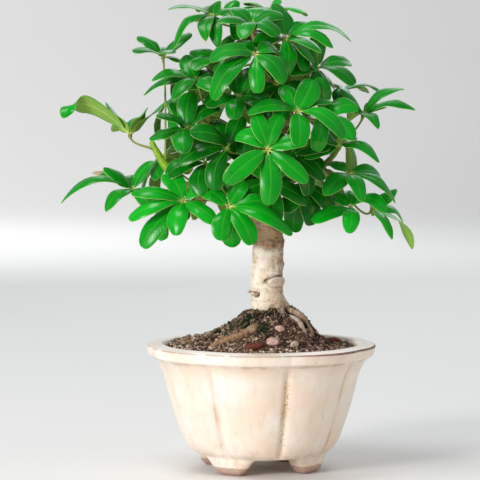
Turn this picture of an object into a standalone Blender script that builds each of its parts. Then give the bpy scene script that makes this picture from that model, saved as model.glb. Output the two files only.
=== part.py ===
"""A dwarf umbrella tree grown as a bonsai, in a cream glazed pot with eight lobes and four feet.

Lengths are in millimetres, and new_object() turns them into metres. While the pieces are made,
the pot's axis is x = y = 0, its feet stand on z = 0 and the front is at -y. At the end
stand_on_origin() shifts everything, so that the middle of the underside is the origin.
"""

import math
from collections import namedtuple

import bpy
import numpy as np
from mathutils import Vector, noise
from mathutils.bvhtree import BVHTree

MM = 0.001
GAP = 0.3
STONE_GAP = 0.5
GOLDEN_TURN = math.radians(137.5)

# Pot: each station is (radius, height, share of the lobes, share of the channels).
LOBES = 8
FIRST_CHANNEL = math.radians(15)
LOBE_RISE = 2.0
CHANNEL_DEPTH = 1.3
CHANNEL_HALF_WIDTH = math.radians(2.4)
LOBE_SAMPLES = (0, 2.8, 8, 17, 28, 37, 42.2)
DRAIN_RADIUS = 6
BASE_UNDERSIDE = 10.6
BASE_INSIDE = 16
RIM_TOP = 83
RIM_RADIUS = 75.4
POT_OUTSIDE = (
    (DRAIN_RADIUS, BASE_UNDERSIDE, 0, 0),
    (38, BASE_UNDERSIDE, 0, 0),
    (44.2, 11.6, 0.3, 0.2),
    (47.9, 14.4, 0.8, 0.6),
    (51.3, 19.4, 1, 1),
    (55.1, 33.2, 1, 1),
    (59.2, 47, 1, 1),
    (64.6, 64, 1, 1),
    (67.8, 70.6, 0.9, 0.7),
    (70.4, 73.4, 0.9, 0),
    (74.2, 75.6, 0.9, 0),
    (74.5, 78.6, 0.9, 0),
    (RIM_RADIUS, 81.2, 0.9, 0),
)
POT_INSIDE = (
    (65, RIM_TOP, 0.3, 0),
    (63.2, 81.2, 0, 0),
    (61.6, 74, 0, 0),
    (47.5, 24, 0, 0),
    (38, BASE_INSIDE, 0, 0),
    (DRAIN_RADIUS, BASE_INSIDE, 0, 0),
)

# Feet: one ring under the pot, whose lower edge rises into the base between four feet.
FEET = 4
FIRST_FOOT = math.radians(58)
FOOT_FLAT = math.radians(11)
FOOT_WIDE = math.radians(25)
FOOT_SAMPLES = (0, 11, 15, 20, 25, 38, 52, 65, 70, 75, 79)
RING_TOP = 13
RING_HIDDEN = 12
FOOT_PROFILE = ((42.6, 1), (42.9, 0.5), (41, 0.14), (38.4, 0), (31, 0), (27, 1))

# Soil: a mound round the trunk that fills the pot.
SOIL_RIM = 79.8
MOUND_HEIGHT = 26.5
MOUND_CENTRE = (5, -1)
MOUND_RIGHT = (30, 3.0)
MOUND_LEFT = (34, 1.5)
SOIL_RINGS = (6, 14, 21, 28, 35, 43, 52, 60.8)
SOIL_SIDE = ((61, 74), (47, 24.4), (37.6, BASE_INSIDE + GAP + 0.1))
SOIL_SIDES = 26
SOIL_LUMP = 1.3
SOIL_LUMP_SIZE = 9

# Wood: each line of (x, y, z, radius) is followed by a smooth tube.
TRUNK = (
    (5, 0, 72, 12), (5, 0, 86, 12.4), (4.8, 0, 98, 12), (4.3, 0, 106, 10.8), (4, 0, 118, 10.2),
    (4.1, 0, 136, 10.3), (4.7, 0, 150, 9.8), (3.3, 0, 163, 9.2), (-2.6, 1, 177, 8),
    (-7, 2, 192, 6.8), (-6, 3, 208, 5.8), (-1, 3, 225, 5), (5, 3, 240, 4.4), (8, 3, 253, 3.8),
    (4, 3, 268, 3.2), (-3, 4, 281, 2.6), (-7, 4, 289, 2),
)
BRANCHES = (
    ((-3, 1, 173, 4.6), (-18, -6, 176, 3.6), (-34, -12, 179, 3.2), (-48, -13, 185, 3.2),
     (-58, -12, 194, 3.4), (-66, -10, 205, 2.7), (-71, -8, 214, 1.8)),
    ((-7, 2, 196, 3.8), (-18, -5, 208, 2.8), (-29, -11, 221, 2.3), (-36, -14, 234, 1.8)),
    ((-3, 1, 180, 4.2), (12, 3, 186, 3.2), (28, 2, 192, 2.7), (42, -2, 200, 2.3), (51, -6, 211, 1.8)),
    ((0, 3, 226, 3.2), (14, 2, 234, 2.4), (28, 4, 244, 2), (37, 6, 254, 1.7)),
    ((-6, 2, 200, 3.4), (-4, -12, 207, 2.6), (0, -25, 214, 2.1), (4, -34, 222, 1.7)),
    ((-5, 3, 184, 4.2), (-8, 18, 190, 3), (-12, 34, 200, 2.4), (-14, 46, 212, 1.8)),
    ((2, 4, 234, 3.2), (6, 18, 243, 2.4), (10, 32, 254, 2), (11, 42, 264, 1.7)),
    ((-8, 3, 205, 3.2), (-24, 15, 214, 2.3), (-38, 27, 226, 1.8)),
    ((-3, 4, 214, 3.2), (14, 17, 220, 2.3), (32, 27, 228, 1.8)),
)
ROOTS = (
    ((3, -3, 93, 5), (0, -15, 94.5, 3.4), (-5, -24, 94, 2.4), (-15, -29, 90, 2.3),
     (-26, -31, 86.4, 2.1), (-35, -33, 81.5, 1.6)),
    ((8, -1, 101, 6), (16, -4, 103, 3.4), (23, -7, 102, 2), (29, -9, 98, 1.5),
     (32.4, -12, 90.6, 1.4), (34, -15, 84, 1.2)),
    ((10, -3, 99, 4), (18, -11, 100.4, 1.6), (24, -15, 97.6, 1.3), (28, -17, 91.4, 1.2),
     (30, -19, 85, 1.1)),
    ((4, 4, 97, 5), (0, 18, 99, 3), (-8, 28, 93.6, 2.1), (-20, 37, 86.6, 1.8), (-27, 42, 80, 1.5)),
    ((10, 3, 98, 5), (20, 12, 99, 2.6), (29, 20, 93, 1.8), (36, 27, 84, 1.5)),
)
TRUNK_SIDES = 12
BRANCH_SIDES = 6
SCAR = ((10.2, -8.4, 124), (6.6, 3.3, 2.8), math.radians(35))
STUB = ((-5.4, -5.2, 117.6), (4.0, 2.0, 2.2), math.radians(-50))

# Stones and bark chips on the soil: (name, place, half sizes, turn about z).
STONES = (
    ("stone_large", (7.4, -38, 87.4), (4.6, 3.4, 3.0), 0.2),
    ("stone_small", (12.3, -26, 94.6), (3.4, 2.6, 2.3), 0.5),
    ("stone_pale", (21.3, -36, 85.6), (3.3, 2.6, 2.2), 1.1),
)
CHIPS = (
    ("bark_chip_front", (-4.9, -43, 85.2), (6.6, 3.4, 1.4), 0.15),
    ("bark_chip_right", (47, 22, 81.2), (7, 3.6, 1.4), -0.35),
)

# Leaves: blades are (dx, dy, dz from the hub to the tip, bow, width, hook of the tip).
PETIOLE_RADIUS = 0.75
HUB_RADIUS = 1.5
PETIOLE_SIDES = 4
PETIOLE_STATIONS = ((0, 1.3), (0.3, 1), (0.65, 1), (0.94, 1.1), (1, 2))
BLADE_THICK = 1.0
BLADE_STATIONS = (0.34, 0.66, 0.92)
EDGE_DROP = 0.16
STALK_HALF_WIDTH = 0.7
STALK_END = 0.11
WIDEST_RISE = 0.62
TIP_ROUND = 0.42

Leaf = namedtuple("Leaf", "hub axis foot blades")
LEAVES = (
    Leaf((3.9, -58, 211), (0.05, -0.85, 0.5), (0, -24, 213), (
        (0, -13, -34, 5, 12, 0), (-27, -12, -20, 6, 11.5, 0), (25, -10, -20, 5, 10, 0),
        (-8, 2, 22, 3, 9.5, 0), (8, 2, 22, 3, 9.5, 0), (25, -2, 6, 3, 10, 0),
        (-20, 4, 9, 4, 10, 0))),
    Leaf((22.4, -46, 234), (0.1, -0.6, 0.78), (4, -32, 220), (
        (1, -20, -20, 5, 11.5, 0), (30, -8, -15, 10, 11, 0), (-31, -8, 0, 7, 11.5, 0),
        (10, 8, 21, 2, 13, 0), (-8, 10, 18, 2, 11, 0), (22, 14, 8, 4, 10, 0))),
    Leaf((-3.6, -42, 271), (-0.05, -0.7, 0.7), (8, 2, 252), (
        (-28, -14, -27, 8, 12, 0), (-29, -10, -3, 5, 13, 0), (18, -14, -17, 5, 12, 0),
        (1, -14, -24, 4, 9, 0), (-14, 20, 6, 3, 12, 0), (14, 18, 5, 3, 12, 0))),
    Leaf((15.8, -20, 281), (0.3, -0.5, 0.8), (6, 2, 262), (
        (-6, 8, 24, 1, 15, 0), (30, -9, -5, 9, 10, 0), (42, 4, -1, 11, 9.5, 0),
        (22, -20, -7, 4, 12.5, 0), (-2, -16, -22, 4, 10.5, 0), (22, 8, -20, 5, 11, 0),
        (16, 16, 10, 3, 10, 0))),
    Leaf((-31, 0, 296), (-0.2, -0.35, 0.9), (-6, 4, 286), (
        (-29, -6, 6, 3, 9, 0), (-26, -12, -20, 10, 10, 0), (-5, -24, -15, 5, 9, 0),
        (3, -20, -20, 6, 9, 0), (4, 4, 10, 1, 9, 0), (-10, 22, 4, 4, 10, 0),
        (16, -16, 0, 4, 10, 0))),
    Leaf((-19, 18, 296), (0.1, -0.1, 0.98), (-6, 4, 288), (
        (20, -18, 4, 4, 10, 0), (3, -26, -14, 8, 9, 0), (22, -4, -7, 5, 9, 0),
        (-12, 24, 2, 5, 11, 0), (12, 24, 2, 5, 11, 0), (-24, 8, -2, 4, 10, 0),
        (2, 6, 11, 1, 9, 0))),
    Leaf((-63.7, -5, 269), (-0.1, -0.4, 0.9), (-62, -11, 199), (
        (-18, -14, 5, 3, 9, 0), (-16, 8, 15, 2, 8.5, 0), (17, 12, 17, 2, 9.5, 0),
        (18, 8, -7, 3, 9.5, 0), (5, -22, 3, 3, 10, 0), (-3, 24, 5, 4, 10, 0))),
    Leaf((-41.3, -22, 254), (-0.15, -0.5, 0.85), (-35, -13, 231), (
        (-28, -14, 2, 5, 11.5, 0), (-35, 8, -8, 6, 10, 0), (-8, 14, 17, 2, 10.5, 0),
        (-15, -24, -11, 7, 10, 0), (18, 16, 3, 4, 11, 0), (12, -25, -6, 5, 11, 0),
        (2, 26, -8, 6, 11, 0))),
    Leaf((-48.2, -35, 223), (-0.1, -0.65, 0.75), (-32, -13, 226), (
        (-9, 10, 18, 2, 9, 0), (3, 6, 24, 2, 11.5, 0), (-17, -14, 10, 3, 10.5, 0),
        (-23, -6, -6, 3, 9.5, 0), (-1, -24, -13, 5, 12, 0), (21, 10, 15, 4, 10, 0))),
    Leaf((-21.4, -34, 211), (-0.15, -0.7, 0.7), (-4, -13, 207), (
        (-31, -8, -8, 5, 11.5, 0), (-9, -16, -25, 5, 11, 0), (-24, -16, 11, 7, 12.5, 0),
        (8, 12, 21, 3, 11, 0), (-9, 16, 19, 3, 11, 0))),
    Leaf((-85.6, 5, 218), (-0.1, 0.5, 0.86), (-69, -9, 208), (
        (-43, -4, 13, 10, 12.5, 8), (-16, 4, 22, 2, 12.5, 0), (11, -6, 19, 2, 10, 0),
        (27, 4, 24, 2, 10, 0), (4, 25, 12, 4, 10, 0), (-12, 22, 4, 5, 10, 0))),
    Leaf((-83, -8, 183), (-0.1, -0.45, 0.88), (-49, -13, 185), (
        (-47, -6, -6, 13, 10, 0), (-17, -20, -11, 5, 11, 0), (-19, -4, 15, 2, 10.5, 0),
        (-27, 12, 12, 3, 9, 0), (-2, 22, 9, 4, 10, 0), (13, 2, 19, 2, 9, 0),
        (11, -22, -10, 5, 11, 0))),
    Leaf((-49.5, -40, 177), (-0.1, -0.7, 0.7), (-40, -13, 181), (
        (-27, -6, -28, 4, 12.5, 0), (-5, -19, -19, 5, 12, 0), (21, -15, -12, 5, 10.5, 0),
        (-35, -6, -10, 7, 9, 0), (-33, -2, 7, 5, 10, 0), (-12, 6, 18, 2, 11.5, 0),
        (14, 8, 13, 3, 10.5, 0))),
    Leaf((-21.3, -45, 174), (0.05, -0.7, 0.7), (-18, -7, 176), (
        (41, -10, -16, 9, 12, 0), (16, -13, -22, 5, 11.5, 0), (-4, -15, -20, 5, 12, 0),
        (27, 3, 4, 3, 9.5, 0), (-16, 6, 12, 3, 11, 0), (10, 10, 17, 3, 10, 0),
        (3, 4, -26, 4, 11.5, 0))),
    Leaf((66.2, -5, 231), (0.2, -0.35, 0.9), (51, -6, 210), (
        (27, 4, 18, 6, 9, 0), (33, -8, 6, 7, 9, 0), (-14, -6, 19, 2, 14, 0),
        (9, -22, -6, 5, 9.5, 0), (-8, 20, -3, 5, 10, 0), (14, 22, 6, 5, 10, 0))),
    Leaf((54, 14, 246), (0.2, 0.1, 0.97), (36, 5, 252), (
        (-22, -16, 6, 4, 9.5, 0), (-4, -26, -4, 5, 10, 0), (-12, 22, 4, 4, 10, 0),
        (16, 22, 2, 5, 10, 0), (26, 2, 2, 5, 10, 0))),
    Leaf((49.4, -24, 212), (0.1, -0.6, 0.8), (42, -2, 200), (
        (26, -10, -9, 7, 10.5, 0), (-17, -14, 9, 4, 12.5, 0), (8, -22, 5, 4, 11, 0),
        (-22, -10, -7, 4, 11, 0), (-4, 20, 12, 3, 10, 0))),
    Leaf((56, -20, 194), (0.25, -0.55, 0.8), (38, -1, 198), (
        (31, -4, -17, 7, 9.5, 0), (8, -20, -16, 5, 11, 0), (-16, -18, -12, 5, 11.5, 0),
        (22, 16, -2, 5, 10, 0), (-12, 8, 12, 3, 10, 0))),
    Leaf((58, -18, 172), (0, -0.6, 0.8), (33, 1, 195), (
        (-25, -12, -7, 3, 11, 0), (22, -12, 0, 8, 10.5, 0), (-2, -22, -14, 5, 10, 0),
        (2, 20, 10, 4, 10, 0), (-16, 12, 8, 3, 10, 0))),
    Leaf((72, -8, 170), (0.4, -0.35, 0.85), (39, -2, 199), (
        (27, -6, -24, 7, 11, 0), (13, -16, -17, 5, 9.5, 0), (22, 16, -8, 6, 10, 0),
        (2, 26, -4, 6, 10, 0), (16, 4, 14, 2, 9, 0))),
    Leaf((25, -16, 188), (0.15, -0.75, 0.6), (12, 3, 186), (
        (9, -8, -26, 4, 13.5, 0), (-4, 2, -32, 5, 11.5, 0), (24, 0, -14, 5, 11, 0),
        (-10, -20, -16, 4, 11, 0), (14, 6, 16, 3, 10, 0))),
    Leaf((-14, -20, 243), (-0.1, -0.6, 0.8), (2, 3, 233), (
        (-4, -22, -12, 5, 11, 0), (-22, -12, -4, 4, 11.5, 0), (20, -16, -5, 5, 11.5, 0),
        (-10, 12, 20, 2, 11, 0), (8, 8, 20, 2, 11, 0))),
    Leaf((-24, -8, 266), (-0.3, -0.5, 0.8), (3, 3, 266), (
        (-20, -16, -4, 4, 11, 0), (-2, -24, -8, 4, 11, 0), (-22, 6, 8, 4, 11, 0),
        (4, 6, 18, 2, 10, 0), (-6, 22, 8, 4, 11, 0))),
    Leaf((-6, -20, 290), (-0.1, -0.5, 0.86), (-4, 4, 282), (
        (-22, -12, 2, 4, 11, 0), (-6, -24, -8, 5, 10, 0), (16, -18, -6, 5, 11, 0),
        (20, -2, 6, 4, 10, 0), (4, 12, 12, 3, 10, 0), (-12, 10, 10, 3, 10, 0))),
    Leaf((6, 6, 297), (0.2, 0, 0.98), (-6, 4, 287), (
        (22, -14, 2, 4, 11, 0), (2, -26, -2, 5, 10, 0), (24, 10, 0, 5, 11, 0),
        (4, 26, 0, 5, 11, 0), (-18, 2, 6, 3, 10, 0), (6, 2, 10, 1, 9, 0))),
    Leaf((36, -12, 262), (0.4, -0.5, 0.77), (35, 6, 251), (
        (22, -14, -10, 5, 11.5, 0), (0, -24, -14, 5, 11, 0), (-20, -14, -2, 4, 11, 0),
        (6, -6, 22, 2, 11, 0), (22, 10, 4, 4, 10, 0))),
    Leaf((-36, -24, 201), (-0.3, -0.7, 0.6), (-30, -11, 180), (
        (-24, -12, -6, 4, 11.5, 0), (-6, -18, -20, 5, 11.5, 0), (18, -16, -12, 4, 11, 0),
        (16, -4, 16, 3, 11, 0), (-12, 4, 20, 2, 11, 0))),
    Leaf((6, -30, 189), (0.05, -0.85, 0.5), (0, 2, 182), (
        (-22, -10, -10, 4, 11.5, 0), (2, -12, -26, 4, 11.5, 0), (24, -6, -12, 4, 11.5, 0),
        (14, 0, 20, 3, 11.5, 0), (-14, 2, 18, 3, 11, 0))),
    Leaf((38, -30, 232), (0.45, -0.65, 0.6), (13, 2, 233), (
        (20, -14, -14, 5, 11.5, 0), (-4, -18, -22, 5, 11, 0), (24, 2, 6, 4, 11, 0),
        (4, -4, 24, 2, 11, 0))),
    Leaf((20, -28, 206), (0.3, -0.75, 0.6), (14, 3, 187), (
        (20, -12, -14, 4, 11.5, 0), (-12, -16, -20, 4, 11.5, 0), (24, -2, 8, 3, 11, 0),
        (6, 4, 22, 2, 11, 0))),
    Leaf((-1, -15, 224), (0, -0.8, 0.6), (-2, 3, 218), (
        (-20, -12, -14, 4, 11.5, 0), (0, -16, -22, 4, 11.5, 0), (20, -12, -14, 4, 11.5, 0),
        (12, 2, 22, 3, 11.5, 0), (-12, 2, 22, 3, 11.5, 0))),
    Leaf((10, -14, 252), (0.1, -0.75, 0.65), (7, 3, 244), (
        (-18, -12, -14, 4, 11.5, 0), (4, -16, -22, 4, 11.5, 0), (24, -10, -10, 4, 11.5, 0),
        (16, 4, 20, 3, 11, 0), (-12, 4, 20, 3, 11, 0))),
    Leaf((-3, -14, 196), (0, -0.8, 0.6), (-6, 2, 192), (
        (-20, -12, -12, 4, 11.5, 0), (0, -14, -24, 4, 11.5, 0), (20, -12, -12, 4, 11.5, 0),
        (14, 0, 18, 3, 11.5, 0), (-14, 0, 18, 3, 11.5, 0))),
)

# Leaves at the back, spread over a dome by the golden turn.
BACK_LEAVES = 14
BACK_LOW = 176
BACK_HIGH = 286
BACK_SPREAD = math.radians(100)
DOME = ((170, 44), (195, 60), (222, 60), (250, 46), (272, 32), (292, 12))
DOME_CENTRE_X = -8
BACK_BLADES = 6
BACK_LENGTH = (31, 37)
BACK_DROP = math.radians(24)
BACK_REACH = 26

# Ways in which a blade or a petiole may be bent clear of its neighbours, the smallest first.
SWINGS = (0, 7, -7, 15, -15, 24, -24, 36, -36, 50, -50)
LIFTS = (0, 8, -8, 17, -17, 28, -28, 40)
SIZES = (1, 0.88, 0.76, 0.64)
SIZE_COST = 160
CLEAR = 0.25
OUTER_SHARE = 0.34
PETIOLE_SWAYS = (0, 4, -4, 8, -8, 13, -13, 18, -18)


def clear_scene():
    for old in list(bpy.data.objects):
        bpy.data.objects.remove(old)


def material(name, colour, roughness, metallic=0.0):
    made = bpy.data.materials.new(name)
    made.use_nodes = True
    shader = made.node_tree.nodes["Principled BSDF"]
    shader.inputs["Base Color"].default_value = (*colour, 1)
    shader.inputs["Roughness"].default_value = roughness
    shader.inputs["Metallic"].default_value = metallic
    return made


def outward(points, faces):
    """The faces, each turned round if the volume they hold comes out negative."""
    volume = 0
    for face in faces:
        first, *others = points[list(face)]
        for second, third in zip(others, others[1:]):
            volume += np.cross(second, third).dot(first)
    return faces if volume > 0 else [face[::-1] for face in faces]


def new_object(name, points, faces, finish, collection=None):
    """An object whose mesh is these points, in millimetres, with its faces pointing out."""
    mesh = bpy.data.meshes.new(name)
    mesh.from_pydata(points * MM, [], outward(points, faces))
    mesh.shade_smooth()
    mesh.set_sharp_from_angle(angle=math.radians(40))
    mesh.materials.append(finish)
    made = bpy.data.objects.new(name, mesh)
    (collection or bpy.context.scene.collection).objects.link(made)
    return made


def strip_faces(rows, columns, closed):
    """Quads between neighbouring rows of a grid whose columns run round, and whose rows may too."""
    faces = []
    for row in range(rows if closed else rows - 1):
        below = row * columns
        above = (row + 1) % rows * columns
        for column in range(columns):
            beside = (column + 1) % columns
            faces.append((below + column, below + beside, above + beside, above + column))
    return faces


def ring_mesh(grid):
    """Points and faces of a grid that closes on itself both ways."""
    rows, columns = grid.shape[:2]
    return grid.reshape(-1, 3), strip_faces(rows, columns, True)


def capped_mesh(grid):
    """Points and faces of a tube-like grid with a flat cap over its first and last row."""
    rows, columns = grid.shape[:2]
    caps = [tuple(range(columns))[::-1], tuple(range((rows - 1) * columns, rows * columns))]
    return grid.reshape(-1, 3), strip_faces(rows, columns, False) + caps


def join(target, others, finish):
    """The union of an object with the others, which are then removed."""
    group = bpy.data.collections.new(target.name + "_pieces")
    bpy.context.scene.collection.children.link(group)
    for other in others:
        group.objects.link(other)
    union = target.modifiers.new("union", "BOOLEAN")
    union.operation = "UNION"
    union.operand_type = "COLLECTION"
    union.collection = group
    union.solver = "EXACT"
    graph = bpy.context.evaluated_depsgraph_get()
    mesh = bpy.data.meshes.new_from_object(target.evaluated_get(graph))
    target.modifiers.clear()
    target.data = mesh
    mesh.materials.clear()
    mesh.materials.append(finish)
    for other in others:
        bpy.data.objects.remove(other)
    bpy.data.collections.remove(group)


def pot_radius(radius, lobes, channels, angle):
    """The radius less the fall of each lobe towards its sides and the narrow channels there."""
    span = 2 * math.pi / LOBES
    off = (angle - FIRST_CHANNEL + span / 2) % span - span / 2
    from_centre = 1 - np.abs(off) / (span / 2)
    fall = LOBE_RISE * from_centre**2.4
    channel = CHANNEL_DEPTH * np.exp(-((off / CHANNEL_HALF_WIDTH) ** 2))
    return radius - lobes * fall - channels * channel


def make_pot(finish):
    """A closed grid round the axis, with the feet, as one ring, joined to it."""
    stations = np.array(POT_OUTSIDE + POT_INSIDE, float)
    turns = [360 / LOBES * lobe + sample for lobe in range(LOBES) for sample in LOBE_SAMPLES]
    angle = FIRST_CHANNEL + np.radians(turns)[None, :]
    radius, height, lobes, channels = (stations[:, column, None] for column in range(4))
    radius = pot_radius(radius, lobes, channels, angle)
    grid = np.stack([radius * np.cos(angle), radius * np.sin(angle), height + 0 * angle], -1)
    pot = new_object("pot", *ring_mesh(grid), finish)
    feet = new_object("feet", *ring_mesh(feet_grid()), finish)
    join(pot, [feet], finish)
    return pot


def feet_grid():
    """Foot profiles round the axis; between feet the profile's bottom is lifted into the base."""
    turns = np.radians([360 / FEET * foot + sample for foot in range(FEET) for sample in FOOT_SAMPLES])
    angle = FIRST_FOOT + turns[None, :]
    quarter = 2 * math.pi / FEET
    off = np.abs((turns + quarter / 2) % quarter - quarter / 2)
    share = np.clip((off - FOOT_FLAT) / (FOOT_WIDE - FOOT_FLAT), 0, 1)
    bottom = RING_HIDDEN * np.sin(share * math.pi / 2) ** 1.3
    radius, lift = (np.array(FOOT_PROFILE)[:, column, None] for column in range(2))
    height = bottom + lift * (RING_TOP - bottom)
    return np.stack([radius * np.cos(angle), radius * np.sin(angle), height], -1)


def soil_height(x, y):
    """The flat soil plus a mound that falls fast on the right and slowly on the left, and lumps."""
    dx = x - MOUND_CENTRE[0]
    dy = y - MOUND_CENTRE[1]
    distance = math.hypot(dx, dy)
    left = 0.5 - 0.5 * dx / max(distance, 1)
    scale = MOUND_RIGHT[0] + left * (MOUND_LEFT[0] - MOUND_RIGHT[0])
    power = MOUND_RIGHT[1] + left * (MOUND_LEFT[1] - MOUND_RIGHT[1])
    mound = MOUND_HEIGHT * math.exp(-((distance / scale) ** power))
    lump = SOIL_LUMP * noise.noise(Vector((x, y, 0)) / SOIL_LUMP_SIZE)
    return SOIL_RIM + mound + lump


def make_soil(finish):
    """Rings of the mound, then of the side that follows the pot's inside, with a hole for the trunk."""
    rings = []
    for radius in SOIL_RINGS:
        ring = []
        for side in range(SOIL_SIDES):
            angle = 2 * math.pi * side / SOIL_SIDES
            x, y = radius * math.cos(angle), radius * math.sin(angle)
            ring.append((x, y, soil_height(x, y)))
        rings.append(ring)
    for radius, height in SOIL_SIDE:
        turns = [2 * math.pi * side / SOIL_SIDES for side in range(SOIL_SIDES)]
        rings.append([(radius * math.cos(a), radius * math.sin(a), height) for a in turns])
    soil = new_object("soil", *capped_mesh(np.array(rings)), finish)
    cutters = bpy.data.collections.new("soil_cutters")
    bpy.context.scene.collection.children.link(cutters)
    for name, grid in soil_cutters():
        cutter = new_object(name, *capped_mesh(grid), finish, cutters)
        cutter.hide_render = True
        cutter.display_type = "WIRE"
    hole = soil.modifiers.new("holes", "BOOLEAN")
    hole.operation = "DIFFERENCE"
    hole.operand_type = "COLLECTION"
    hole.collection = cutters
    hole.solver = "EXACT"
    return soil


def soil_cutters():
    """The trunk, roots, stones and chips, each larger by the gap, as (name, grid)."""
    yield "trunk_hole", tube_grid(TRUNK[:5], TRUNK_SIDES, GAP)
    for number, root in enumerate(ROOTS):
        yield f"root_hole_{number}", tube_grid(root, BRANCH_SIDES, GAP)
    for name, place, half, turn in STONES:
        yield f"{name}_hole", pebble_grid(place, half, turn, STONE_GAP)
    for name, place, half, turn in CHIPS:
        yield f"{name}_hole", chip_grid(place, half, turn, STONE_GAP)


def smooth_line(knots, step=4.5):
    """Points along a Catmull-Rom curve through the knots, about a step apart; all columns are carried."""
    knots = np.array(knots, float)
    ends = np.vstack([2 * knots[0] - knots[1], knots, 2 * knots[-1] - knots[-2]])
    rows = []
    for i in range(len(knots) - 1):
        a, b, c, d = ends[i : i + 4]
        pieces = max(1, round(np.linalg.norm((c - b)[:3]) / step))
        t = np.linspace(0, 1, pieces, endpoint=False)[:, None]
        rows.append(0.5 * (2 * b + (c - a) * t + (2 * a - 5 * b + 4 * c - d) * t**2
                           + (3 * b - a - 3 * c + d) * t**3))
    rows.append(knots[-1:])
    return np.vstack(rows)


def tube_grid(knots, sides, grow=0.0, step=10):
    """Rings round a smooth line, their radius its fourth column, carried along without twist."""
    line = smooth_line(knots, step)
    path, radius = line[:, :3], line[:, 3] + grow
    along = np.gradient(path, axis=0)
    along /= np.linalg.norm(along, axis=1, keepdims=True)
    path = path.copy()
    path[0] -= grow * along[0]
    path[-1] += grow * along[-1]
    across = np.cross(along[0], (0.31, 0.95, 0.05))
    turns = 2 * math.pi * np.arange(sides) / sides
    rings = []
    for point, size, ahead in zip(path, radius, along):
        across = across - ahead * across.dot(ahead)
        across /= np.linalg.norm(across)
        beside = np.cross(ahead, across)
        rings.append(point + size * (np.cos(turns)[:, None] * across + np.sin(turns)[:, None] * beside))
    return np.array(rings)


def pebble_grid(place, half, turn, grow=0.0):
    """Rings of a rounded stone, squarer than an ellipsoid, with small flat ends."""
    rows = []
    for latitude in np.radians((-68, -30, 8, 44, 72)):
        ring = []
        for side in range(8):
            a = 2 * math.pi * (side + 0.3 * math.sin(3 * side)) / 8
            wide = math.cos(latitude) ** 0.8
            x = (half[0] + grow) * wide * math.cos(a)
            y = (half[1] + grow) * wide * math.sin(a)
            z = (half[2] + grow) * math.sin(latitude) * (1 + 0.12 * math.cos(2 * a + 1))
            ring.append((place[0] + x * math.cos(turn) - y * math.sin(turn),
                         place[1] + x * math.sin(turn) + y * math.cos(turn), place[2] + z))
        rows.append(ring)
    return np.array(rows)


def chip_grid(place, half, turn, grow=0.0):
    """Two outlines of a bark flake, pointed at both ends, the upper one smaller."""
    outline = ((-1, 0.1), (-0.6, 0.75), (0.1, 1), (0.75, 0.6), (1, -0.1), (0.5, -0.8), (-0.3, -0.95),
               (-0.8, -0.5))
    rows = []
    for level, share in ((-1, 0.9), (0.2, 1), (1, 0.8)):
        ring = []
        for along, across in outline:
            x = (half[0] + grow) * share * along
            y = (half[1] + grow) * share * across
            z = (half[2] + grow) * level + 0.06 * x
            ring.append((place[0] + x * math.cos(turn) - y * math.sin(turn),
                         place[1] + x * math.sin(turn) + y * math.cos(turn), place[2] + z))
        rows.append(ring)
    return np.array(rows)


def swelling_grid(place, half, turn):
    """Rings of an ellipsoid round its long level axis, which is turned about z."""
    rows = []
    for share in (-0.98, -0.7, 0, 0.7, 0.98):
        wide = math.sqrt(1 - share**2)
        turns = 2 * math.pi * np.arange(8) / 8
        x = np.full(8, half[0] * share)
        y = half[2] * wide * np.cos(turns)
        z = half[1] * wide * np.sin(turns)
        rows.append(np.stack([place[0] + x * math.cos(turn) - y * math.sin(turn),
                              place[1] + x * math.sin(turn) + y * math.cos(turn), place[2] + z], -1))
    return np.array(rows)


def wood_grids():
    """Every tube of the trunk, branches and roots, with the two scars."""
    grids = [tube_grid(TRUNK, TRUNK_SIDES)]
    grids += [tube_grid(branch, BRANCH_SIDES) for branch in BRANCHES]
    grids += [tube_grid(root, BRANCH_SIDES) for root in ROOTS]
    grids += [swelling_grid(*SCAR), swelling_grid(*STUB)]
    return grids


def make_wood(finish):
    grids = wood_grids()
    pieces = [new_object(f"wood_{i}", *capped_mesh(grid), finish) for i, grid in enumerate(grids)]
    trunk = pieces[0]
    trunk.name = "trunk"
    join(trunk, pieces[1:], finish)
    return trunk


def unit(vector):
    return vector / np.linalg.norm(vector)


def blade_frame(hub, tip, axis, bow, hook, share):
    """Points, side and normals of a blade's middle line at these shares of its length.

    It is a cubic curve from hub to tip, raised by the bow towards the axis; the hook pushes its
    last control point past the tip, so that the tip turns back under.
    """
    chord = tip - hub
    length = np.linalg.norm(chord)
    ahead = chord / length
    raised = unit(axis - ahead * axis.dot(ahead))
    first = hub + chord / 3 + raised * bow * 4 / 3
    second = hub + chord * 2 / 3 + raised * (bow * 4 / 3 + hook) + ahead * 2 * hook
    t = np.asarray(share, float)[:, None]
    point = (1 - t) ** 3 * hub + 3 * t * (1 - t) ** 2 * first + 3 * t**2 * (1 - t) * second + t**3 * tip
    slope = (1 - t) ** 2 * (first - hub) + 2 * t * (1 - t) * (second - first) + t**2 * (tip - second)
    slope /= np.linalg.norm(slope, axis=1, keepdims=True)
    side = np.cross(ahead, raised)
    return point, side, np.cross(side, slope)


def blade_half_width(share, width):
    """A thin stalk, then an egg-shaped blade that is widest past its middle and round at the tip."""
    u = np.clip((np.asarray(share, float) - STALK_END) / (1 - STALK_END), 0, 1)
    peak = WIDEST_RISE / (WIDEST_RISE + TIP_ROUND)
    top = peak**WIDEST_RISE * (1 - peak) ** TIP_ROUND
    return np.maximum(STALK_HALF_WIDTH * (u < 1), width / 2 * u**WIDEST_RISE * (1 - u) ** TIP_ROUND / top)


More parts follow.
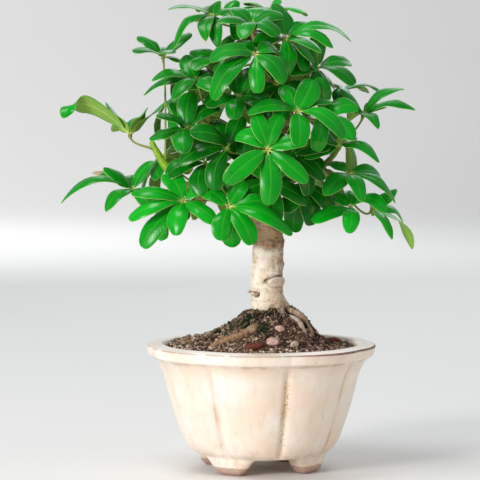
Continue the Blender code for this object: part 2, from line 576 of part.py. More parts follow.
def blade_mesh(hub, tip, axis, bow, width, hook, grow=0.0, start=0.0):
    """A blade with four corners at each station, closed to a point at both ends."""
    stations = [s for s in BLADE_STATIONS if s > start]
    point, side, normal = blade_frame(hub, tip, axis, bow, hook, [start, *stations, 1])
    half = blade_half_width(stations, width)[:, None] + grow
    middle, up = point[1:-1], normal[1:-1]
    drop = EDGE_DROP * half
    thick = BLADE_THICK / 2 + grow
    grid = np.stack([middle - side * half - up * drop, middle + up * thick,
                     middle + side * half - up * drop, middle - up * thick], 1)
    tip_point = point[-1] + grow * unit(point[-1] - point[-2])
    points = np.vstack([grid.reshape(-1, 3), point[0], tip_point])
    rows = len(stations)
    faces = strip_faces(rows, 4, False)
    root, end, last = rows * 4, rows * 4 + 1, (rows - 1) * 4
    for corner in range(4):
        beside = (corner + 1) % 4
        faces.append((root, beside, corner))
        faces.append((end, last + corner, last + beside))
    return points, faces


def petiole_grid(foot, hub, axis, sway, start, grow=0.0):
    """A thin stalk from the wood to the hub, where it swells; sway bends its middle sideways."""
    reach = np.linalg.norm(hub - foot)
    beside = unit(np.cross(hub - foot, (0, 0, 1)))
    first = foot + (hub - foot) * 0.33 + beside * sway
    second = hub - axis * reach * 0.3 + beside * sway
    share, size = np.array(PETIOLE_STATIONS).T
    t = (start + (1 - start) * share)[:, None]
    path = (1 - t) ** 3 * foot + 3 * t * (1 - t) ** 2 * first + 3 * t**2 * (1 - t) * second + t**3 * hub
    path[-1] += unit(hub - second) * HUB_RADIUS / 2
    knots = np.hstack([path, size[:, None] * PETIOLE_RADIUS])
    return tube_grid(knots, PETIOLE_SIDES, grow, step=1000)


class Space:
    """The pieces that are already in place, as boxes and trees of triangles."""

    def __init__(self):
        self.kept = []

    def add(self, points, faces, owner=None):
        tree = BVHTree.FromPolygons(points.tolist(), faces)
        self.kept.append((points.min(0), points.max(0), tree, owner))

    def free(self, points, faces, but=None):
        tree = BVHTree.FromPolygons(points.tolist(), faces)
        low, high = points.min(0), points.max(0)
        for other_low, other_high, other, owner in self.kept:
            if but is not None and owner == but:
                continue
            if (low > other_high).any() or (high < other_low).any():
                continue
            if tree.overlap(other):
                return False
        return True


def turned(vector, about, degrees):
    """The vector turned about a unit axis, by the rule of Rodrigues."""
    angle = math.radians(degrees)
    return (vector * math.cos(angle) + np.cross(about, vector) * math.sin(angle)
            + about * about.dot(vector) * (1 - math.cos(angle)))


def blade_choices(blade, axis):
    """The blade's reach from hub to tip as drawn, then bent and shortened more and more."""
    drawn = np.array(blade[:3], float)
    hinge = unit(np.cross(drawn, axis))
    choices = [(abs(swing) + abs(lift) + SIZE_COST * (1 - size), swing, lift, size)
               for swing in SWINGS for lift in LIFTS for size in SIZES]
    for _, swing, lift, size in sorted(choices):
        yield turned(turned(drawn, hinge, lift), axis, swing) * size, size


def dome_radius(height):
    heights, radii = zip(*DOME)
    return float(np.interp(height, heights, radii))


def back_leaves():
    """Leaves over the back of a dome, each with blades evenly round an axis that leans outwards."""
    leaves = []
    for number in range(BACK_LEAVES):
        height = BACK_LOW + (BACK_HIGH - BACK_LOW) * (number + 0.5) / BACK_LEAVES
        turn = BACK_SPREAD * (2 * ((number * GOLDEN_TURN / (2 * math.pi)) % 1) - 1)
        out = np.array((math.sin(turn), math.cos(turn), 0))
        radius = dome_radius(height)
        hub = np.array((DOME_CENTRE_X, 0, height)) + out * radius
        axis = unit(out * (0.35 + radius / 110) + np.array((0, 0, 0.9)))
        across = unit(np.cross(axis, (0.2, 0.1, 1)))
        blades = []
        for blade in range(BACK_BLADES):
            angle = 360 * blade / BACK_BLADES + 97 * number
            way = turned(across, axis, angle)
            length = BACK_LENGTH[0] + (BACK_LENGTH[1] - BACK_LENGTH[0]) * ((blade * 5 + number) % 7) / 6
            reach = length * (way * math.cos(BACK_DROP) - axis * math.sin(BACK_DROP))
            blades.append((*reach, 5, 10.8, 0))
        leaves.append(Leaf(tuple(hub), tuple(axis), tuple(hub - (axis + out) * BACK_REACH * 0.7), blades))
    return leaves


def wood_line():
    """Points along the upper trunk and the branches, where petioles may start."""
    lines = [smooth_line(TRUNK[8:], 1.5)] + [smooth_line(branch[1:], 1.5) for branch in BRANCHES]
    return np.vstack(lines)[:, :3]


def place_petioles(leaves, space):
    """Each leaf's petiole grid, started where it comes clear of the wood and swayed clear of others."""
    starts = wood_line()
    grids = []
    for number, leaf in enumerate(leaves):
        foot = starts[np.argmin(np.linalg.norm(starts - np.array(leaf.foot), axis=1))]
        hub, axis = np.array(leaf.hub, float), unit(np.array(leaf.axis, float))
        grid = None
        for sway in PETIOLE_SWAYS:
            for step in range(60):
                start = 0.02 + 0.006 * step
                if space.free(*capped_mesh(petiole_grid(foot, hub, axis, sway, start, GAP))):
                    grid = petiole_grid(foot, hub, axis, sway, start)
                    break
            if grid is not None:
                break
        if grid is None:
            raise ValueError(f"the petiole of leaf {number + 1} finds no clear way")
        space.add(*capped_mesh(grid), number)
        grids.append(grid)
    return grids


def place_blades(leaves, space):
    """For each leaf the blades' meshes, each bent clear of all that is in place."""
    placed = []
    for number, leaf in enumerate(leaves):
        hub, axis = np.array(leaf.hub, float), unit(np.array(leaf.axis, float))
        own = Space()
        meshes = []
        for blade in leaf.blades:
            for reach, size in blade_choices(blade, axis):
                shape = (hub, hub + reach, axis, blade[3] * size, blade[4], blade[5] * size)
                outer = blade_mesh(*shape, CLEAR, OUTER_SHARE)
                if own.free(*outer) and space.free(*blade_mesh(*shape, CLEAR), number):
                    meshes.append(blade_mesh(*shape))
                    own.add(*blade_mesh(*shape, 0, OUTER_SHARE))
                    break
        for mesh in meshes:
            space.add(*mesh, number)
        placed.append(meshes)
    return placed


def make_leaves(finish):
    """A node for each leaf: its petiole, hub and blades as one body."""
    leaves = list(LEAVES) + back_leaves()
    space = Space()
    for grid in wood_grids():
        space.add(*capped_mesh(grid))
    petioles = place_petioles(leaves, space)
    blades = place_blades(leaves, space)
    for number, (grid, meshes) in enumerate(zip(petioles, blades), 1):
        leaf = new_object(f"leaf_{number:02d}", *capped_mesh(grid), finish)
        pieces = [new_object(f"blade_{number}_{i}", *mesh, finish) for i, mesh in enumerate(meshes)]
        join(leaf, pieces, finish)


def stand_on_origin():
    """Shifts every object, so that the middle of the underside of them all is the origin."""
    shown = [made for made in bpy.context.scene.objects if not made.hide_render]
    corners = np.array([corner for made in shown for corner in made.bound_box])
    middle = (corners.min(0) + corners.max(0)) / 2
    for made in bpy.context.scene.objects:
        made.location = (-middle[0], -middle[1], 0)


def main():
    clear_scene()
    make_pot(material("cream glaze", (0.93, 0.86, 0.75), 0.22))
    make_soil(material("gritty soil", (0.13, 0.09, 0.065), 0.95))
    make_wood(material("pale bark", (0.62, 0.52, 0.38), 0.8))
    make_leaves(material("green leaf", (0.02, 0.3, 0.04), 0.3))
    stone = material("pink stone", (0.55, 0.38, 0.3), 0.85)
    for name, place, half, turn in STONES:
        new_object(name, *capped_mesh(pebble_grid(place, half, turn)), stone)
    bark = material("red bark", (0.22, 0.09, 0.06), 0.9)
    for name, place, half, turn in CHIPS:
        new_object(name, *capped_mesh(chip_grid(place, half, turn)), bark)
    stand_on_origin()


main()
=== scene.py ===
"""The looks of a dwarf umbrella tree grown as a bonsai, in a cream glazed pot with eight lobes.

Lengths are in millimetres, with the pot's axis at x = y = 0, its feet on z = 0 and the front at -y,
as in the source of the solids, and Shape.piece() turns them into the row's metres. The stations of
the pot, the lines of the wood and the table of the leaves repeat those of the solids, so that each
fine piece keeps the place and the form of the solid that it replaces.
"""

import math
from collections import namedtuple

import bpy
import numpy as np
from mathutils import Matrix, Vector
from mathutils import noise as solid_noise


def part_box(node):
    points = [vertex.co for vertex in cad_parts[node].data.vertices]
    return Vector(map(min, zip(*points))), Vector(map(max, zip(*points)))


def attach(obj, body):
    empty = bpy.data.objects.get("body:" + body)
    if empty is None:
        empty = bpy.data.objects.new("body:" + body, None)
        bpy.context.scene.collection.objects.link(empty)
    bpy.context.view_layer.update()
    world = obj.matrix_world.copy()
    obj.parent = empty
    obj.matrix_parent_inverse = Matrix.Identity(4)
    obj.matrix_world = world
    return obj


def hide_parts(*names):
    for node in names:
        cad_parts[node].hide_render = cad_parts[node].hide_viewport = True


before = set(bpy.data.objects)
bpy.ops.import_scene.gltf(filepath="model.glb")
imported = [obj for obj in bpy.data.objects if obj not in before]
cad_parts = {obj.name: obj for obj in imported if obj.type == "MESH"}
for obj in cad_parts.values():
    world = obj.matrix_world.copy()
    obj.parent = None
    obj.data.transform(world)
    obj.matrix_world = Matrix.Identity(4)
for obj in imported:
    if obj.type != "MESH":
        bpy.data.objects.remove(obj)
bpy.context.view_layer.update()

MM = 0.001
ASKEW = (0.31, 0.95, 0.05)
GOLDEN_TURN = math.radians(137.5)
POT_AXIS = np.array(sum(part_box("pot"), Vector()) / 2) * (1, 1, 0)

# Pot: (radius, height, share of the lobes, share of the channels, softness, step to the next row).
LOBES = 8
LOBE_SPAN = math.tau / LOBES
FIRST_CHANNEL = math.radians(15)
LOBE_RISE = 2.5
LOBE_POWER = 2.1
CHANNEL_DEPTH = 1.6
CHANNEL_HALF_WIDTH = 2.1
POT_COLUMNS = 400
COLUMN_CROWDING = 0.62
ARRIS = 14
POT_STATIONS = (
    (6, 10.6, 0, 0, 0, 3),
    (24, 10.6, 0, 0, 0, 0.8),
    (27.3, 10.6, 0, 0, 0, 0.6),
    (31, 10.6, 0, 0, 0, 1.5),
    (38.4, 10.6, 0, 0, 0, 0.5),
    (41, 10.9, 0, 0, 0, 0.4),
    (42.9, 11.2, 0.15, 0.1, 0, 0.5),
    (44.2, 11.6, 0.3, 0.2, 0.1, 0.7),
    (47.9, 14.4, 0.8, 0.6, 0.3, 0.9),
    (51.3, 19.4, 1, 1, 0.8, 1.6),
    (64.6, 64, 1, 1, 0.4, 0.9),
    (67.8, 70.6, 0.9, 0.7, 0, 0.5),
    (70.4, 73.4, 0.9, 0, 0, 0.5),
    (74.2, 75.6, 0.9, 0, 0, 0.45),
    (75.4, 82.0, 0.9, 0, 0, 0.5),
    (65, 83, 0.3, 0, 0, 0.6),
    (63.2, 81.2, 0, 0, 0, 1.5),
    (61.6, 74, 0, 0, 0, 6),
    (47.5, 24, 0, 0, 0, 4),
    (38, 16, 0, 0, 0, 6),
    (6, 16, 0, 0, 0, 2),
)
PROFILE_SAMPLE = 0.25
ROUNDING = (3, 16)
BODY_BOW = 0.9
BOW_HEIGHTS = (14, 40, 44, 68)
BASE_SOFTNESS = 0.55
UNEVENNESS = 0.18
SEAM_REACH = 12

# Feet: a foot stands where it is flat and fades away where it is wide, as half angles. It is drawn down
# from the rows of the base, which lie below its top and outside its inner radius; the lifts, as
# (radius, lift), say how far it is held up towards the top.
FEET = 4
FOOT_SPAN = math.tau / FEET
FIRST_FOOT = math.radians(58)
FOOT_FLAT = math.radians(9.5)
FOOT_WIDE = math.radians(31)
FOOT_TOP = 13
FOOT_HIDDEN = 12
FOOT_SOLE = 5
BASE_TOP = 12.4
BASE_INNER = 24.5
FOOT_LIFTS = ((24, 1), (27.3, 0.9), (31, 0), (38.4, 0), (41, 0.14), (42.9, 0.5), (44.2, 1))

# The stretch of a channel where the glaze is freckled, and pits in the glaze, as (place, reach).
FRECKLED = ((17.5, -56, 36), 34)
GLAZE_PITS = (
    ((-9.3, -61.5, 58.7), 0.8), ((-1.2, -57.6, 43.6), 0.85), ((20.8, -72.4, 80), 0.9),
    ((22, -72, 78.6), 0.7), ((-35, -64.5, 79.4), 0.7), ((-50, 47.5, 82.6), 1.6), ((36, -47, 60), 0.5),
    ((-30, -52, 52), 0.5),
)

# Heights on the pot between which a tint comes and then goes: painted shade under the rim, a painted shadow
# under the fascia, the darker foot of the body, the bare clay and the edge of the glaze.
SHADE_UNDER_RIM = (64.5, 70.5, 73.5, 75.7)
SHADOW_UNDER_FASCIA = (72.2, 73.6, 74.4, 75.6)
BODY_FOOT = (11, 30)
BARE_CLAY = (4.6, 5.8)
GLAZE_EDGE = (4.6, 5.6, 6.0, 7.6)

# Soil: the mound of the solid, with grit, moss and fine roots strewn on it.
SOIL_RIM = 79.8
MOUND_HEIGHT = 26.5
MOUND_CENTRE = (5, -1)
MOUND_RIGHT = (30, 3.0)
MOUND_LEFT = (34, 1.5)
SOIL_LUMP = 1.3
SOIL_LUMP_SIZE = 9
SOIL_EDGE = 61.2
SOIL_COLUMNS = 360
SOIL_RINGS = 112
SOIL_SIDE = ((0.5, 16.4), (37.6, 16.4), (47, 24.4), (60.6, 72), (61.2, 76))
SPRIG = (
    ((54.6, 9, 78, 0.45), (55.2, 9, 80.4, 0.4), (56.4, 9, 82.2, 0.3), (56.8, 9, 83.8, 0.12)),
    ((55.3, 9, 80.6, 0.3), (54.4, 8.6, 81.8, 0.25), (53.8, 8.4, 83, 0.12)),
    ((56, 9, 81.8, 0.25), (57.2, 9, 82.2, 0.2), (58, 9, 82.1, 0.1)),
)
MOSS_PATCHES = (
    (-13, -6, 10), (-6, -11, 8), (31, -4, 8), (3, -27, 8), (24, 3, 10), (35, -8, 5), (13, 12, 12),
    (-4, 15, 12), (30, 20, 9), (-22, 20, 9), (-27, -8, 6), (18, -14, 7), (-9, -22, 6), (6, 34, 9),
    (-34, 4, 5), (-20, -14, 6),
)

# Grit: (how many are tried, half sizes from and to, flatness, lean, share that is sunk), and the two
# tones between which each colour takes over from the one before.
GRANULES = ((3300, (0.3, 0.8), 0.8, math.pi, 0.3), (900, (0.8, 1.7), 0.75, math.pi, 0.35))
DARK_GRAINS = (900, (1.1, 2.2), 0.8, math.pi, 0.45)
FLAKES = (420, (1.0, 2.6), 0.22, 0.5, 0.2)
GRIT_COLOURS = (
    (0.12, 0.18, (114, 87, 69)), (0.34, 0.39, (152, 124, 104)), (0.56, 0.6, (186, 158, 140)),
    (0.82, 0.85, (220, 194, 178)), (0.94, 0.96, (138, 76, 60)), (1.2, 1.3, (188, 166, 118)),
)
STRAW_TONE = 1.5
FLAKE_TONES = (0.1, 0.3, 0.5, 0.75, 0.97)
SPRIG_TONE = 0.35
STRANDS = 900
STRAW_SHARE = 0.16
MOSS_SPIKES = 110000
SPIKE_LEAN = 1.1
SPIKE_HALF_WIDTH = 0.27
CLEAR_OF_TRUNK = {"grit": 12.8, "strands": 12.5, "moss": 11.0}

# Where the random draws of each kind of piece start.
GRIT_DRAW = 41
STRAND_DRAW = 63
MOSS_DRAW = 57
STONE_DRAW = 7
LEAF_DRAW = 1000

# Wood: each line of (x, y, z, radius) is followed by a smooth tube. Knots are (x, y, z, reach, rise),
# and rings of the bark are (height, depth).
TRUNK_X = 5
TRUNK = (
    (5, 0, 72, 12), (5, 0, 86, 12.4), (4.8, 0, 98, 12), (4.3, 0, 106, 10.8), (4, 0, 118, 10.2),
    (4.1, 0, 136, 10.3), (4.7, 0, 150, 9.8), (3.3, 0, 163, 9.2), (-2.6, 1, 177, 8),
    (-7, 2, 192, 6.8), (-6, 3, 208, 5.8), (-1, 3, 225, 5), (5, 3, 240, 4.4), (8, 3, 253, 3.8),
    (4, 3, 268, 3.2), (-3, 4, 281, 2.6), (-7, 4, 289, 2),
)
BRANCHES = (
    ((-3, 1, 173, 4.6), (-18, -6, 176, 3.6), (-34, -12, 179, 3.2), (-48, -13, 185, 3.2),
     (-58, -12, 194, 3.4), (-66, -10, 205, 2.7), (-71, -8, 214, 1.8)),
    ((-7, 2, 196, 3.8), (-18, -5, 208, 2.8), (-29, -11, 221, 2.3), (-36, -14, 234, 1.8)),
    ((-3, 1, 180, 4.2), (12, 3, 186, 3.2), (28, 2, 192, 2.7), (42, -2, 200, 2.3), (51, -6, 211, 1.8)),
    ((0, 3, 226, 3.2), (14, 2, 234, 2.4), (28, 4, 244, 2), (37, 6, 254, 1.7)),
    ((-6, 2, 200, 3.4), (-4, -12, 207, 2.6), (0, -25, 214, 2.1), (4, -34, 222, 1.7)),
    ((-5, 3, 184, 4.2), (-8, 18, 190, 3), (-12, 34, 200, 2.4), (-14, 46, 212, 1.8)),
    ((2, 4, 234, 3.2), (6, 18, 243, 2.4), (10, 32, 254, 2), (11, 42, 264, 1.7)),
    ((-8, 3, 205, 3.2), (-24, 15, 214, 2.3), (-38, 27, 226, 1.8)),
    ((-3, 4, 214, 3.2), (14, 17, 220, 2.3), (32, 27, 228, 1.8)),
)
FOOT_FLARES = (
    ((6, -2, 112, 8), (10, -8, 106, 5.2), (13.5, -13.5, 100.5, 3.4), (16, -18, 95, 2), (17.5, -21, 90, 1)),
    ((9, 1, 110, 7), (14, 3, 105, 4.4), (19, 5, 99, 2.4), (22, 6, 93, 1.2)),
    ((4, 3, 110, 8), (3, 9, 104, 4.6), (2, 15, 98, 2.8), (0, 19, 92, 1.4)),
)
ROOTS = (
    ((3, -3, 93, 5), (0, -15, 94.5, 3.4), (-5, -24, 94, 2.4), (-15, -29, 90, 2.3),
     (-26, -31, 86.4, 2.1), (-35, -33, 81.5, 1.6)),
    ((8, -1, 101, 6), (16, -4, 103, 3.4), (23, -7, 102, 2), (29, -9, 98, 1.5),
     (32.4, -12, 90.6, 1.4), (34, -15, 84, 1.2)),
    ((10, -3, 99, 4), (18, -11, 100.4, 1.6), (24, -15, 97.6, 1.3), (28, -17, 91.4, 1.2),
     (30, -19, 85, 1.1)),
    ((4, 4, 97, 5), (0, 18, 99, 3), (-8, 28, 93.6, 2.1), (-20, 37, 86.6, 1.8), (-27, 42, 80, 1.5)),
    ((10, 3, 98, 5), (20, 12, 99, 2.6), (29, 20, 93, 1.8), (36, 27, 84, 1.5)),
)
SCAR = ((11.2, -7.4, 123.4), (7.4, 3.5), math.radians(44))
STUB = ((-4.8, -5.6, 116.6), (4.6, 2.4), math.radians(-52))
CUT_TWIG = (
    (1, -3, 115.2, 2.3), (-2.2, -7, 115.3, 1.9), (-4.8, -7.8, 115.9, 1.3), (-7, -7.6, 116.6, 0.75),
    (-8.6, -7, 117, 0.25),
)
# How brown each root is; on the second and third roots, on the right, part of the brown is painted shade.
ROOT_BROWNS_AND_SHADE = (1.0, 0.75, 0.5, 0.9, 0.85)
KNOTS = (
    (-1, -10, 149.5, 1.6, 0.9), (13.6, -2, 134.5, 3.0, 1.1), (12.8, -6, 141, 1.6, 0.5),
    (-6, 6, 138, 2.6, 0.9), (5, 10.5, 127, 3.2, 1.0), (-5.5, 2, 158, 2.2, 0.8), (8, -9, 158, 1.8, 0.6),
)
BARK_RINGS = (
    (103, 0.25), (111, 0.3), (120, 0.2), (131, 0.3), (139, 0.22), (145.6, 0.55), (148.4, 0.5), (151.2, 0.3),
    (157, 0.35), (163, 0.3), (170, 0.35), (178, 0.3), (189, 0.3), (201, 0.3), (214, 0.3),
)
ROUGH_BAND = 148.5
FOOT_LEVEL = 92
BROWN_FROM = (142.5, 149)
GREEN_FROM = (262, 288)

# The tubes of the wood: (columns, step between rows, strength of the relief).
TRUNK_TUBE = (120, 0.62, 1.0)
TWIG_TUBE = (36, 0.2, 1.6)
BRANCH_TUBE = (26, 0.9, 0.6)
FLARE_TUBE = (40, 0.6, 1.4)
ROOT_TUBE = (30, 0.6, 1.7)

# Stones and bark chips: (place, half sizes, turn about z) of each node.
STONE_FACES = 15
STONE_WEAR = 0.022
STONES = {
    "stone_large": ((7.4, -38, 87.4), (4.6, 3.4, 3.0), 0.2),
    "stone_small": ((12.3, -26, 94.6), (3.4, 2.6, 2.3), 0.5),
    "stone_pale": ((21.3, -36, 85.6), (3.3, 2.6, 2.2), 1.1),
}
CHIPS = {
    "bark_chip_front": ((-4.9, -43, 85.2), (6.6, 3.4, 1.4), 0.15),
    "bark_chip_right": ((47, 22, 81.2), (7, 3.6, 1.4), -0.35),
}
CHIP_LEANS = {"bark_chip_front": math.radians(14), "bark_chip_right": math.radians(30)}
CHIP_OUTLINE = (
    (-1, 0.1), (-0.6, 0.75), (0.1, 1), (0.75, 0.6), (1, -0.1), (0.5, -0.8), (-0.3, -0.95), (-0.8, -0.5),
)
CHIP_LEVELS = (
    (-1, 0.1), (-1, 0.5), (-1, 0.84), (-0.85, 0.94), (-0.1, 1), (0.6, 0.94), (0.95, 0.82), (1, 0.45),
    (1, 0.1),
)

# Leaves: the petiole, the hub and the outline of the blades.
PETIOLE_RADIUS = 0.75
PETIOLE_ROWS = 30
PETIOLE_SIDES = 10
HUB_RADIUS = 1.5
STALK_RADIUS = 0.62
STALK_END = 0.1
WIDEST_RISE = 0.52
TIP_ROUND = (0.28, 0.42)
FULLNESS = 1.17
BLADE_HALF_THICK = 0.3

# What chance gives each blade: sideways curve, droop by its length, twist in degrees, how its sides
# drop, how many waves its margin has, how high they are, and how its tone differs from its leaf's.
CURVES = (-1.8, 1.8)
DROOPS = (0.01, 0.08)
TURNS = (-16, 16)
SIDE_DROPS = (-0.04, 0.3)
WAVES = (1.2, 2.2)
WAVE_HEIGHTS = (0.2, 0.7)
TONE_SHIFTS = (-0.15, 0.15)
TONES = (0.1, 0.75)

# A blade's rows and columns, as shares of its length and half width, and the layer of each column: 1
# above, -1 beneath and 0 on the margin.
BLADE_ROWS = np.array((0, 0.045, 0.09, 0.125, 0.16, 0.21, 0.28, 0.37, 0.46, 0.55, 0.64, 0.73, 0.81, 0.88,
                       0.93, 0.96, 0.98, 0.992, 0.9975))
TOP_COLUMNS = (-1, -0.93, -0.72, -0.4, -0.1, 0, 0.1, 0.4, 0.72, 0.93, 1)
UNDER_COLUMNS = (0.8, 0.35, 0, -0.35, -0.8)
LAYERS = np.array([[0] + [1] * 9 + [0] + [-1] * 5])

